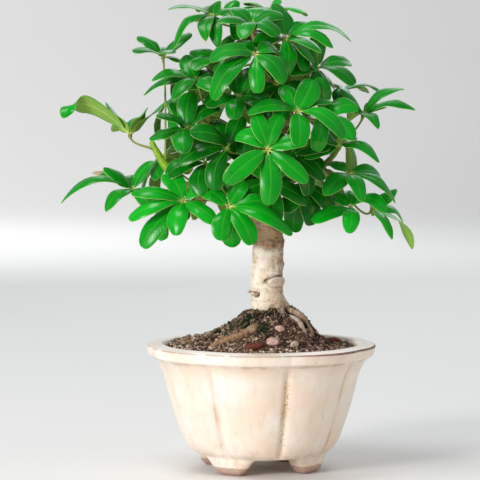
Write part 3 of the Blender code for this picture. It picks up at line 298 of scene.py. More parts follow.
# Each blade is (dx, dy, dz from the hub to the tip, bow, width).
Leaf = namedtuple("Leaf", "hub axis foot blades")
LEAVES = (
    Leaf((3.9, -58, 211), (0.05, -0.85, 0.5), (0, -24, 213), (
        (0, -13, -34, 5, 12), (-27, -12, -20, 6, 11.5), (25, -10, -20, 5, 10), (-8, 2, 22, 3, 9.5),
        (8, 2, 22, 3, 9.5), (25, -2, 6, 3, 10), (-20, 4, 9, 4, 10))),
    Leaf((22.4, -46, 234), (0.1, -0.6, 0.78), (4, -32, 220), (
        (1, -20, -20, 5, 11.5), (30, -8, -15, 10, 11), (-31, -8, 0, 7, 11.5), (10, 8, 21, 2, 13),
        (-8, 10, 18, 2, 11), (22, 14, 8, 4, 10))),
    Leaf((-3.6, -42, 271), (-0.05, -0.7, 0.7), (8, 2, 252), (
        (-28, -14, -27, 8, 12), (-29, -10, -3, 5, 13), (18, -14, -17, 5, 12), (1, -14, -24, 4, 9),
        (-14, 20, 6, 3, 12), (14, 18, 5, 3, 12))),
    Leaf((15.8, -20, 281), (0.3, -0.5, 0.8), (6, 2, 262), (
        (-6, 8, 24, 1, 15), (30, -9, -5, 9, 10), (42, 4, -1, 11, 9.5), (22, -20, -7, 4, 12.5),
        (-2, -16, -22, 4, 10.5), (22, 8, -20, 5, 11), (16, 16, 10, 3, 10))),
    Leaf((-31, 0, 296), (-0.2, -0.35, 0.9), (-6, 4, 286), (
        (-29, -6, 6, 3, 9), (-26, -12, -20, 10, 10), (-5, -24, -15, 5, 9), (3, -20, -20, 6, 9),
        (4, 4, 10, 1, 9), (-10, 22, 4, 4, 10), (16, -16, 0, 4, 10))),
    Leaf((-19, 18, 296), (0.1, -0.1, 0.98), (-6, 4, 288), (
        (20, -18, 4, 4, 10), (3, -26, -14, 8, 9), (22, -4, -7, 5, 9), (-12, 24, 2, 5, 11),
        (12, 24, 2, 5, 11), (-24, 8, -2, 4, 10), (2, 6, 11, 1, 9))),
    Leaf((-63.7, -5, 269), (-0.1, -0.4, 0.9), (-62, -11, 199), (
        (-18, -14, 5, 3, 9), (-16, 8, 15, 2, 8.5), (17, 12, 17, 2, 9.5), (18, 8, -7, 3, 9.5),
        (5, -22, 3, 3, 10), (-3, 24, 5, 4, 10))),
    Leaf((-41.3, -22, 254), (-0.15, -0.5, 0.85), (-35, -13, 231), (
        (-28, -14, 2, 5, 11.5), (-35, 8, -8, 6, 10), (-8, 14, 17, 2, 10.5), (-15, -24, -11, 7, 10),
        (18, 16, 3, 4, 11), (12, -25, -6, 5, 11), (2, 26, -8, 6, 11))),
    Leaf((-48.2, -35, 223), (-0.1, -0.65, 0.75), (-32, -13, 226), (
        (-9, 10, 18, 2, 9), (3, 6, 24, 2, 11.5), (-17, -14, 10, 3, 10.5), (-23, -6, -6, 3, 9.5),
        (-1, -24, -13, 5, 12), (21, 10, 15, 4, 10))),
    Leaf((-21.4, -34, 211), (-0.15, -0.7, 0.7), (-4, -13, 207), (
        (-31, -8, -8, 5, 11.5), (-9, -16, -25, 5, 11), (-24, -16, 11, 7, 12.5), (8, 12, 21, 3, 11),
        (-9, 16, 19, 3, 11))),
    Leaf((-85.6, 5, 218), (-0.1, 0.5, 0.86), (-69, -9, 208), (
        (-43, -4, 13, 10, 12.5), (-16, 4, 22, 2, 12.5), (11, -6, 19, 2, 10), (27, 4, 24, 2, 10),
        (4, 25, 12, 4, 10), (-12, 22, 4, 5, 10))),
    Leaf((-83, -8, 183), (-0.1, -0.45, 0.88), (-49, -13, 185), (
        (-47, -6, -6, 13, 10), (-17, -20, -11, 5, 11), (-19, -4, 15, 2, 10.5), (-27, 12, 12, 3, 9),
        (-2, 22, 9, 4, 10), (13, 2, 19, 2, 9), (11, -22, -10, 5, 11))),
    Leaf((-49.5, -40, 177), (-0.1, -0.7, 0.7), (-40, -13, 181), (
        (-27, -6, -28, 4, 12.5), (-5, -19, -19, 5, 12), (21, -15, -12, 5, 10.5), (-35, -6, -10, 7, 9),
        (-33, -2, 7, 5, 10), (-12, 6, 18, 2, 11.5), (14, 8, 13, 3, 10.5))),
    Leaf((-21.3, -45, 174), (0.05, -0.7, 0.7), (-18, -7, 176), (
        (41, -10, -16, 9, 12), (16, -13, -22, 5, 11.5), (-4, -15, -20, 5, 12), (27, 3, 4, 3, 9.5),
        (-16, 6, 12, 3, 11), (10, 10, 17, 3, 10), (3, 4, -26, 4, 11.5))),
    Leaf((66.2, -5, 231), (0.2, -0.35, 0.9), (51, -6, 210), (
        (27, 4, 18, 6, 9), (33, -8, 6, 7, 9), (-14, -6, 19, 2, 14), (9, -22, -6, 5, 9.5),
        (-8, 20, -3, 5, 10), (14, 22, 6, 5, 10))),
    Leaf((54, 14, 246), (0.2, 0.1, 0.97), (36, 5, 252), (
        (-22, -16, 6, 4, 9.5), (-4, -26, -4, 5, 10), (-12, 22, 4, 4, 10), (16, 22, 2, 5, 10),
        (26, 2, 2, 5, 10))),
    Leaf((49.4, -24, 212), (0.1, -0.6, 0.8), (42, -2, 200), (
        (26, -10, -9, 7, 10.5), (-17, -14, 9, 4, 12.5), (8, -22, 5, 4, 11), (-22, -10, -7, 4, 11),
        (-4, 20, 12, 3, 10))),
    Leaf((56, -20, 194), (0.25, -0.55, 0.8), (38, -1, 198), (
        (31, -4, -17, 7, 9.5), (8, -20, -16, 5, 11), (-16, -18, -12, 5, 11.5), (22, 16, -2, 5, 10),
        (-12, 8, 12, 3, 10))),
    Leaf((58, -18, 172), (0, -0.6, 0.8), (33, 1, 195), (
        (-25, -12, -7, 3, 11), (22, -12, 0, 8, 10.5), (-2, -22, -14, 5, 10), (2, 20, 10, 4, 10),
        (-16, 12, 8, 3, 10))),
    Leaf((72, -8, 170), (0.4, -0.35, 0.85), (39, -2, 199), (
        (27, -6, -24, 7, 11), (13, -16, -17, 5, 9.5), (22, 16, -8, 6, 10), (2, 26, -4, 6, 10),
        (16, 4, 14, 2, 9))),
    Leaf((25, -16, 188), (0.15, -0.75, 0.6), (12, 3, 186), (
        (9, -8, -26, 4, 13.5), (-4, 2, -32, 5, 11.5), (24, 0, -14, 5, 11), (-10, -20, -16, 4, 11),
        (14, 6, 16, 3, 10))),
    Leaf((-14, -20, 243), (-0.1, -0.6, 0.8), (2, 3, 233), (
        (-4, -22, -12, 5, 11), (-22, -12, -4, 4, 11.5), (20, -16, -5, 5, 11.5), (-10, 12, 20, 2, 11),
        (8, 8, 20, 2, 11))),
    Leaf((-24, -8, 266), (-0.3, -0.5, 0.8), (3, 3, 266), (
        (-20, -16, -4, 4, 11), (-2, -24, -8, 4, 11), (-22, 6, 8, 4, 11), (4, 6, 18, 2, 10),
        (-6, 22, 8, 4, 11))),
    Leaf((-6, -20, 290), (-0.1, -0.5, 0.86), (-4, 4, 282), (
        (-22, -12, 2, 4, 11), (-6, -24, -8, 5, 10), (16, -18, -6, 5, 11), (20, -2, 6, 4, 10),
        (4, 12, 12, 3, 10), (-12, 10, 10, 3, 10))),
    Leaf((6, 6, 297), (0.2, 0, 0.98), (-6, 4, 287), (
        (22, -14, 2, 4, 11), (2, -26, -2, 5, 10), (24, 10, 0, 5, 11), (4, 26, 0, 5, 11),
        (-18, 2, 6, 3, 10), (6, 2, 10, 1, 9))),
    Leaf((36, -12, 262), (0.4, -0.5, 0.77), (35, 6, 251), (
        (22, -14, -10, 5, 11.5), (0, -24, -14, 5, 11), (-20, -14, -2, 4, 11), (6, -6, 22, 2, 11),
        (22, 10, 4, 4, 10))),
    Leaf((-36, -24, 201), (-0.3, -0.7, 0.6), (-30, -11, 180), (
        (-24, -12, -6, 4, 11.5), (-6, -18, -20, 5, 11.5), (18, -16, -12, 4, 11), (16, -4, 16, 3, 11),
        (-12, 4, 20, 2, 11))),
    Leaf((6, -30, 189), (0.05, -0.85, 0.5), (0, 2, 182), (
        (-22, -10, -10, 4, 11.5), (2, -12, -26, 4, 11.5), (24, -6, -12, 4, 11.5), (14, 0, 20, 3, 11.5),
        (-14, 2, 18, 3, 11))),
    Leaf((38, -30, 232), (0.45, -0.65, 0.6), (13, 2, 233), (
        (20, -14, -14, 5, 11.5), (-4, -18, -22, 5, 11), (24, 2, 6, 4, 11), (4, -4, 24, 2, 11))),
    Leaf((20, -28, 206), (0.3, -0.75, 0.6), (14, 3, 187), (
        (20, -12, -14, 4, 11.5), (-12, -16, -20, 4, 11.5), (24, -2, 8, 3, 11), (6, 4, 22, 2, 11))),
    Leaf((-1, -15, 224), (0, -0.8, 0.6), (-2, 3, 218), (
        (-20, -12, -14, 4, 11.5), (0, -16, -22, 4, 11.5), (20, -12, -14, 4, 11.5), (12, 2, 22, 3, 11.5),
        (-12, 2, 22, 3, 11.5))),
    Leaf((10, -14, 252), (0.1, -0.75, 0.65), (7, 3, 244), (
        (-18, -12, -14, 4, 11.5), (4, -16, -22, 4, 11.5), (24, -10, -10, 4, 11.5), (16, 4, 20, 3, 11),
        (-12, 4, 20, 3, 11))),
    Leaf((-3, -14, 196), (0, -0.8, 0.6), (-6, 2, 192), (
        (-20, -12, -12, 4, 11.5), (0, -14, -24, 4, 11.5), (20, -12, -12, 4, 11.5), (14, 0, 18, 3, 11.5),
        (-14, 0, 18, 3, 11.5))),
)

# Leaves at the back, spread over a dome by the golden turn.
BACK_LEAVES = 14
BACK_LOW = 176
BACK_HIGH = 286
BACK_SPREAD = math.radians(100)
DOME = ((170, 44), (195, 60), (222, 60), (250, 46), (272, 32), (292, 12))
DOME_CENTRE_X = -8
BACK_BLADES = 6
BACK_LENGTH = (31, 37)
BACK_DROP = math.radians(24)
BACK_REACH = 26
BACK_BOW_AND_WIDTH = (5, 10.8)

# Ways in which the solids' blades and petioles were bent clear of their neighbours.
SWINGS = (0, 7, -7, 15, -15, 24, -24, 36, -36, 50, -50)
LIFTS = (0, 8, -8, 17, -17, 28, -28, 40)
SIZES = (1, 0.88, 0.76, 0.64)
SIZE_COST = 160
TIP_MATCH = 0.05
RADIUS_MATCH = 0.03
PETIOLE_SWAYS = (0, 4, -4, 8, -8, 13, -13, 18, -18)

# By (leaf number, blade): how dry its tip is, 0 to 1, how far its tip is hooked, in millimetres, and how
# far its tip is curled and the whole blade twisted, in degrees. By leaf number: the end of blade_outline
# where tips are pointed, and how light the green is, 0 to 1; that lightness is partly the leaf's own tone
# and partly painted light, most of all on leaves 19 and 20 on the lower right.
DRY_TIPS = {(12, 3): 1.0, (14, 3): 0.35, (18, 2): 0.3, (20, 3): 0.5, (40, 2): 0.6}
HOOKS = {(11, 0): 8}
CURLS = {(11, 0): 116}
TWISTS = {(11, 0): -36, (11, 1): 50, (11, 2): -50, (11, 3): -60, (20, 0): 62}
POINTED = {4: 0.55, 5: 0.6, 8: 0.5, 11: 0.5, 12: 0.55, 15: 0.62, 17: 0.5, 18: 0.55, 20: 0.6}
LEAF_TONES_AND_LIGHT = {
    1: 0.62, 2: 0.55, 3: 0.45, 4: 0.5, 11: 0.6, 13: 0.75, 14: 0.7, 17: 0.35, 18: 0.6, 19: 0.9, 20: 1.0,
    21: 0.1, 22: 0.1, 23: 0.2, 28: 0.05, 30: 0.1, 31: 0.05, 32: 0.1, 33: 0.05,
}

# Stage, in metres: the floor, the lamps as (name, place, size, power, colour, aim), and the camera's
# place from the pot's axis.
FLOOR_FLAT = (0.4, 1.2, 2.0, 2.7)
FLOOR_REACH = 3.0
FLOOR_CURVE = 1.6
FLOOR_SIDES = 96
PLANT_MIDDLE = (0, 0, 0.16)
LAMPS = (
    ("key", (-1.3, -1.38, 0.64), 0.6, 27, (1, 0.99, 0.985), PLANT_MIDDLE),
    ("warm side", (2.3, -1.15, 0.5), 0.9, 5, (1, 0.64, 0.38), PLANT_MIDDLE),
    ("top", (-0.5, -0.3, 1.9), 0.7, 12, (0.96, 0.98, 1), PLANT_MIDDLE),
    ("back", (0.3, 1.7, 1.4), 1.6, 10, (0.92, 0.97, 1), PLANT_MIDDLE),
    ("wall wash", (-0.6, 1.9, 1.3), 0.8, 24, (0.97, 0.99, 1), (-1.0, 4.2, 0.3)),
)
ROOM_COLOUR = (0.9, 0.95, 1, 1)
ROOM_STRENGTH = 0.47
CAMERA_PLACE = (-0.0137, -1.696, 0.2648)
CAMERA_DIP = math.radians(3.87)
CAMERA_LENS = 195
CAMERA_SENSOR = 36


def linear(shown):
    """A colour given as eight-bit display values, as the linear values that shaders take."""
    shown = np.array(shown) / 255
    return np.where(shown < 0.04045, shown / 12.92, ((shown + 0.055) / 1.055) ** 2.4).tolist()


def unit(vector):
    """The vector, or each one of an array, divided by its length."""
    return vector / np.linalg.norm(vector, axis=-1, keepdims=True)


def joined(*numbers):
    """Numbers and arrays of them side by side on a last axis, such as x, y and z as points."""
    return np.stack(np.broadcast_arrays(*numbers), -1)


def around(turn, radius=1, height=0):
    """The points at these turns about the z axis."""
    return joined(radius * np.cos(turn), radius * np.sin(turn), height)


def even_turns(count):
    """That many angles, evenly spread over a full turn."""
    return math.tau * np.arange(count) / count


def bell(distance, width, power=2):
    """1 at no distance, and exp(-|distance / width|**power) on either side."""
    return np.exp(-np.abs(distance / width) ** power)


def cubic(start, first, second, end, t):
    """The curve (1-t)**3 start + 3t(1-t)**2 first + 3t**2(1-t) second + t**3 end."""
    return (1 - t) ** 3 * start + 3 * t * (1 - t) ** 2 * first + 3 * t**2 * (1 - t) * second + t**3 * end


def ease(value, low, high):
    """0 below low, 1 above high, and t * t * (3 - 2 * t) between them."""
    t = np.clip((value - low) / (high - low), 0, 1)
    return t * t * (3 - 2 * t)


LATTICE_PRIMES = np.array((374761393, 668265263, 1274126177, 974634777))


def lattice_value(cell, seed):
    """A repeatable number from -1 to 1 for each cell of a whole-number lattice."""
    mixed = cell @ LATTICE_PRIMES[:3] + seed * LATTICE_PRIMES[3]
    mixed = (mixed ^ (mixed >> 13)) * LATTICE_PRIMES[2]
    return ((mixed ^ (mixed >> 16)) & 0xFFFFFF) / 0x7FFFFF - 1


def rough(points, size, seed=0, octaves=1):
    """Smooth noise with lumps of that size; each further octave is half as large and half as strong.

    The eight values round a point on a lattice are blended by t * t * (3 - 2 * t) along each axis.
    """
    total, strength = 0, 1
    for octave in range(octaves):
        at = points * (2**octave / size)
        cell = np.floor(at).astype(np.int64)
        part = ease(at - cell, 0, 1)
        for corner in np.ndindex(2, 2, 2):
            weight = np.prod(np.where(corner, part, 1 - part), axis=-1)
            total = total + strength * weight * lattice_value(cell + np.array(corner), seed + octave)
        strength /= 2
    return total


def grid_quads(rows, columns, rows_meet=False):
    """The quads of a grid whose columns run round, and whose last row may meet its first."""
    row = np.arange(rows if rows_meet else rows - 1)[:, None]
    column = np.arange(columns)[None, :]
    above, beside = (row + 1) % rows * columns, (column + 1) % columns
    row = row * columns
    return joined(row + column, row + beside, above + beside, above + column).reshape(-1, 4)


def end_triangles(rows, columns):
    """Triangles from a grid's first and last row to the two points that follow the grid."""
    column = np.arange(columns)
    beside = (column + 1) % columns
    last = (rows - 1) * columns
    return np.concatenate([
        joined(rows * columns, beside, column),
        joined(rows * columns + 1, last + column, last + beside),
    ])


class Shape:
    """Grids and small solids gathered into one mesh, with the numbers per point that its finish reads."""

    def __init__(self, **widths):
        self.widths = widths
        self.points, self.quads, self.triangles = [], [np.empty((0, 4), int)], [np.empty((0, 3), int)]
        self.values = {name: [] for name in widths}
        self.count = 0

    def add(self, points, quads=None, triangles=None, **values):
        """Points of shape (n, 3) and their faces; each value is one for all or one for each point."""
        self.points.append(points)
        if quads is not None:
            self.quads.append(quads + self.count)
        if triangles is not None:
            self.triangles.append(triangles + self.count)
        for name, width in self.widths.items():
            shape = (len(points), width) if width > 1 else (len(points),)
            self.values[name].append(np.broadcast_to(np.asarray(values[name], float), shape))
        self.count += len(points)

    def add_tube(self, grid, start, end, **values):
        """A grid whose columns run round, closed at its two ends by a point."""
        rows, columns = grid.shape[:2]
        points = np.vstack([grid.reshape(-1, 3), start, end])
        spread = {}
        for name, width in self.widths.items():
            shape = (rows, columns, width) if width > 1 else (rows, columns)
            value = np.broadcast_to(np.asarray(values[name], float), shape)
            ends = np.stack([value[0].mean(0), value[-1].mean(0)])
            spread[name] = np.concatenate([value.reshape(rows * columns, *shape[2:]), ends])
        self.add(points, grid_quads(rows, columns), end_triangles(rows, columns), **spread)

    def piece(self, name, finish, replaced=()):
        """The mesh as an object that rides on the root, takes a finish and replaces CAD nodes."""
        points = np.concatenate(self.points) * MM + POT_AXIS
        quads, triangles = np.concatenate(self.quads), np.concatenate(self.triangles)
        corners = np.concatenate([quads.ravel(), triangles.ravel()])
        starts = np.concatenate([np.arange(len(quads)) * 4, len(quads) * 4 + np.arange(len(triangles)) * 3])
        mesh = bpy.data.meshes.new(name)
        mesh.vertices.add(len(points))
        mesh.vertices.foreach_set("co", points.astype(np.float32).ravel())
        mesh.loops.add(len(corners))
        mesh.loops.foreach_set("vertex_index", corners.astype(np.int32))
        mesh.polygons.add(len(starts))
        mesh.polygons.foreach_set("loop_start", starts.astype(np.int32))
        mesh.update(calc_edges=True)
        for key, width in self.widths.items():
            kind, field = ("FLOAT_VECTOR", "vector") if width > 1 else ("FLOAT", "value")
            layer = mesh.attributes.new(key, kind, "POINT")
            layer.data.foreach_set(field, np.concatenate(self.values[key]).astype(np.float32).ravel())
        mesh.shade_smooth()
        mesh.materials.append(finish)
        made = bpy.data.objects.new(name, mesh)
        bpy.context.scene.collection.objects.link(made)
        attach(made, "root")
        if replaced:
            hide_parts(*replaced)
        return made


class Number:
    """A number in a material. What is worked out from it with Python's operators adds Math nodes."""

    def __init__(self, paint, socket):
        self.paint, self.socket = paint, socket

    def maths(self, operation, first, second=0.0):
        """Adds a Math node and gives its number."""
        return self.paint.number("ShaderNodeMath", {"operation": operation}, {0: first, 1: second})

    def __add__(self, other):
        return self.maths("ADD", self, other)

    def __radd__(self, other):
        return self.maths("ADD", other, self)

    def __sub__(self, other):
        return self.maths("SUBTRACT", self, other)

    def __rsub__(self, other):
        return self.maths("SUBTRACT", other, self)

    def __mul__(self, other):
        return self.maths("MULTIPLY", self, other)

    def __rmul__(self, other):
        return self.maths("MULTIPLY", other, self)

    def __truediv__(self, other):
        return self.maths("DIVIDE", self, other)

    def __mod__(self, other):
        return self.maths("FLOORED_MODULO", self, other)

    def __abs__(self):
        return self.maths("ABSOLUTE", self)


class Paint:
    """A material under way. node() adds any node, and the other methods name the common ones.

    Colours are linked sockets or eight-bit display values.
    """

    def __init__(self, name):
        self.material = bpy.data.materials.new(name)
        self.material.use_nodes = True
        self.tree = self.material.node_tree

    def feed(self, socket, value):
        """Links a socket to a number or another socket, or sets it to a plain value."""
        value = value.socket if isinstance(value, Number) else value
        if isinstance(value, bpy.types.NodeSocket):
            self.tree.links.new(value, socket)
        elif socket.type == "RGBA":
            socket.default_value = (*linear(value), 1)
        else:
            socket.default_value = value

    def node(self, kind, settings, sockets):
        """Adds a node of this kind with these settings, then feeds its sockets."""
        added = self.tree.nodes.new(kind)
        for name, value in settings.items():
            setattr(added, name, value)
        for key, value in sockets.items():
            self.feed(added.inputs[key], value)
        return added

    def number(self, kind, settings, sockets):
        """Adds a node and gives the number that is its first output."""
        return Number(self, self.node(kind, settings, sockets).outputs[0])

    def place(self):
        """Object coordinates, in metres."""
        return self.node("ShaderNodeTexCoord", {}, {}).outputs["Object"]

    def parts(self, vector):
        """The three numbers of a vector."""
        split = self.node("ShaderNodeSeparateXYZ", {}, {0: vector})
        return [Number(self, output) for output in split.outputs]

    def attribute(self, name):
        """The three numbers of a vector that the mesh holds under this name."""
        return self.parts(self.node("ShaderNodeAttribute", {"attribute_name": name}, {}).outputs["Vector"])

    def vectors(self, operation, first, second):
        """Adds a Vector Math node."""
        return self.node("ShaderNodeVectorMath", {"operation": operation}, {0: first, 1: second})

    def stretched(self, vector, x, y, z):
        """The vector with each of its numbers multiplied."""
        return self.vectors("MULTIPLY", vector, (x, y, z)).outputs["Vector"]

    def noise(self, vector, size, detail=2.0, roughness=0.5, distortion=0.0):
        """Noise from 0 to 1 with lumps of about that size in millimetres."""
        sockets = {"Vector": vector, "Scale": 1 / (size * MM), "Detail": detail, "Roughness": roughness,
                   "Distortion": distortion}
        return self.number("ShaderNodeTexNoise", {}, sockets)

    def cells(self, vector, size):
        """The distance from the nearest of some scattered points, about that many millimetres apart."""
        return self.number("ShaderNodeTexVoronoi", {}, {"Vector": vector, "Scale": 1 / (size * MM)})

    def step(self, value, low, high):
        """0 below low and 1 above high, with a smooth rise between them."""
        sockets = {"Value": value, "From Min": low, "From Max": high}
        return self.number("ShaderNodeMapRange", {"interpolation_type": "SMOOTHSTEP"}, sockets)

    def fade(self, value, low, high):
        """1 below low and 0 above high, with a smooth fall between them."""
        return 1 - self.step(value, low, high)

    def band(self, value, low, full, going, gone):
        """A rise from low to full and a fall from going to gone."""
        return self.step(value, low, full) * self.fade(value, going, gone)

    def patches(self, vector, size, low, high, detail=2.0, roughness=0.5):
        """1 where noise of that size is above high and 0 where it is below low."""
        return self.step(self.noise(vector, size, detail, roughness), low, high)

    def clipped(self, value):
        """The value, kept from 0 to 1."""
        return self.number("ShaderNodeClamp", {}, {0: value})

    def mix(self, share, first, second):
        """The first colour where share is 0 and the second where it is 1."""
        return self.node("ShaderNodeMix", {"data_type": "RGBA"}, {0: share, 6: first, 7: second}).outputs[2]

    def coats(self, ground, *coats):
        """A ground under coats of paint, each laid over the ones before as (share, colour)."""
        for share, colour in coats:
            ground = self.mix(share, ground, colour)
        return ground

    def bump(self, height, distance, strength=1.0):
        """A normal from a height whose 1 stands for this distance in millimetres."""
        sockets = {"Height": height, "Distance": distance * MM, "Strength": strength}
        return self.node("ShaderNodeBump", {}, sockets).outputs[0]

    def near(self, place, spot, reach):
        """1 within about that reach of a spot given in millimetres from the pot's axis."""
        there = tuple(float(part) for part in np.array(spot) * MM + POT_AXIS)
        away = self.vectors("DISTANCE", place, there).outputs["Value"]
        return self.fade(away, reach * 0.6 * MM, reach * MM)

    def finish(self, **sockets):
        """Feeds the shader's sockets, named with underscores, and gives back the material."""
        shader = self.tree.nodes["Principled BSDF"]
        for name, value in sockets.items():
            self.feed(shader.inputs[name.replace("_", " ")], value)
        return self.material


def leaf_finish():
    """Glossy green blades with a soft midrib and a pale margin, pale beneath, on yellow-green stalks.

    The mesh gives "blade", which is the share of the length, the millimetres from the midrib and from
    the margin, and "look", which is tone, underside and stalk, and "dry". The tone is partly painted light.
    """
    paint = Paint("glossy leaf")
    place = paint.place()
    along, across, rim = paint.attribute("blade")
    tone, under, stalk = paint.attribute("look")
    dry = paint.attribute("dry")[0]
    cloud = paint.noise(place, 13, 3)
    fine = paint.noise(place, 1.2, 3, 0.6)
    off = abs(across)
    from_vein = abs((along * 36 - off * 0.62 + cloud * 0.8) / 2.6 % 1.0 - 0.5)
    vein = paint.fade(from_vein, 0.02, 0.16) * paint.step(off, 0.3, 0.9) * paint.step(rim, 0.2, 1.4)
    midrib = paint.fade(off, 0.1, 0.7) * (1 - 0.55 * along)
    above = paint.coats(
        paint.mix(paint.clipped(tone + cloud * 0.9 - 0.45), (1, 98, 9), (2, 168, 28)),
        (paint.step(cloud * fine, 0.3, 0.5) * 0.25, (20, 146, 12)),
        (vein * 0.08, (80, 180, 50)),
        (midrib * 0.42, (88, 190, 52)),
        (paint.fade(rim, 0.12, 0.4) * 0.85, (176, 222, 120)),
    )
    below = paint.coats(
        paint.mix(cloud, (86, 138, 44), (146, 184, 76)),
        (vein * 0.25, (150, 190, 100)),
        (midrib * 0.7, (186, 204, 116)),
    )
    stem = paint.coats(
        paint.mix(cloud, (112, 142, 44), (150, 168, 78)),
        (paint.step(tone + cloud, 0.75, 1.15) * 0.6, (128, 106, 66)),
        (paint.step(along, 0.005, 0.045), (196, 210, 116)),
    )
    parched = paint.step(dry * (along + fine * 0.14), 0.8, 0.9)
    straw = paint.mix(fine, (196, 176, 140), (150, 122, 88))
    height = fine * 0.3 - vein * (1 - under * 2) * 0.3
    return paint.finish(
        Base_Color=paint.coats(above, (under, below), (stalk, stem), (parched, straw)),
        Roughness=paint.clipped(0.17 + under * 0.35 + stalk * 0.2 + parched * 0.4 + fine * 0.12),
        Normal=paint.bump(height, 0.12, 0.6),
        Specular_IOR_Level=0.24,
    )


def glaze_finish():
    """Cream glaze that pools in the channels, worn along the arris and bare on the feet, with painted shade
    under the rim and a painted shadow under the fascia; on the right side of the pot the arris line and the
    channel lines are painted darker and wider, as painted shade.

    The mesh gives "seam": the millimetres from the nearest channel's middle, less than 0 on its left, then
    those past the arris along the profile, less than 0 on the fascia, and 1 close to a channel.
    """
    paint = Paint("cream glaze")
    place = paint.place()
    x, y, z = [part / MM for part in paint.parts(place)]
    across, past_arris, depth = paint.attribute("seam")
    crease = abs(across)
    cloud = paint.noise(place, 26, 4)
    drift = paint.noise(place, 6, 4, 0.6)
    fine = paint.noise(place, 1.1, 4, 0.65)
    runs = paint.noise(paint.stretched(place, 1, 1, 0.16), 5, 3)
    broken = paint.patches(place, 12, 0.42, 0.6, 3)
    wander = drift * 1.4 - 0.7
    # Painted shade: side rises from 0 at the middle to 1 at the right of the pot, the side turned from the
    # light, and there it makes the arris line and the channel lines darker and wider.
    side = paint.step(x + y * 0.2, 0, 62)
    pooled = paint.fade(crease, 0.2, 3.6) * paint.patches(place, 24, 0.3, 0.7, 3) * depth
    left_line = paint.fade(abs(across + 1.6 + wander), 0.1, 0.7) * broken
    right_line = paint.fade(abs(across - 1.5 - wander), 0.05, 0.5) * paint.step(runs, 0.42, 0.6)
    freckled = paint.near(place, *FRECKLED) * 0.9 + 0.1
    specks = paint.fade(crease, 1.4, 4.4) * paint.step(fine, 0.54, 0.62) * paint.step(drift, 0.4, 0.55)
    # The worn line along the arris, widened and darkened on the right by side, which is painted shade.
    worn = paint.fade(abs(past_arris + 0.25) - (0.46 + side * 0.62), -0.3, 0.35)
    worn = worn * paint.step(drift + side * 0.3, 0.31, 0.51)
    halo = paint.fade(abs(past_arris), 0.4, 2.6) * paint.step(drift, 0.35, 0.7)
    pits = paint.fade(paint.cells(place, 9), 0.028, 0.05) * paint.patches(place, 17, 0.5, 0.56)
    for spot, reach in GLAZE_PITS:
        pits = pits + paint.near(place, spot, reach)
    ragged = z + drift * 3
    bare = paint.fade(ragged, *BARE_CLAY)
    clay = paint.coats(
        paint.mix(fine, (210, 176, 160), (160, 124, 110)),
        (paint.patches(paint.stretched(place, 3, 3, 0.5), 3, 0.6, 0.68, 3, 0.7) * 0.7, (92, 70, 64)),
    )
    body = paint.coats(
        paint.mix(paint.step(cloud, 0.3, 0.7), (250, 238, 225), (242, 221, 201)),
        (paint.step(runs, 0.48, 0.8) * 0.45, (232, 202, 172)),
        (pooled * 0.75, (218, 186, 144)),
        # The channel lines, darker on the right by side, which is painted shade.
        (left_line * depth * (0.25 + side * 0.55), (168, 132, 92)),
        (right_line * depth * (0.2 + side * 0.3), (176, 142, 106)),
        (specks * depth * freckled, (150, 114, 78)),
        # Painted shade under the overhanging rim.
        (paint.band(z, *SHADE_UNDER_RIM) * (0.05 + drift * 0.3), (212, 180, 146)),
        # Painted shadow along the fold under the fascia.
        (paint.band(z, *SHADOW_UNDER_FASCIA) * broken * 0.5, (176, 140, 104)),
        (paint.fade(z, *BODY_FOOT) * paint.step(drift, 0.4, 0.75) * 0.4, (196, 164, 132)),
        (worn * (0.6 + side * 0.34), (84, 58, 46)),
        (halo * 0.4, (206, 172, 146)),
        (paint.clipped(pits), (70, 52, 44)),
        (paint.patches(place, 15, 0.64, 0.76, 5, 0.7) * 0.2, (150, 130, 120)),
        (paint.band(ragged, *GLAZE_EDGE) * 0.7, (150, 112, 84)),
        (bare, clay),
    )
    unglazed = paint.clipped(bare + worn * 0.8)
    height = cloud * 0.5 + drift * 0.14 - pits * 0.25 + fine * unglazed * 0.3
    return paint.finish(
        Base_Color=body,
        Roughness=paint.clipped(0.24 + drift * 0.1 + unglazed * 0.5),
        Coat_Weight=paint.clipped(0.3 - unglazed * 0.3),
        Coat_Roughness=0.16,
        Normal=paint.bump(height, 0.6, 0.5),
    )


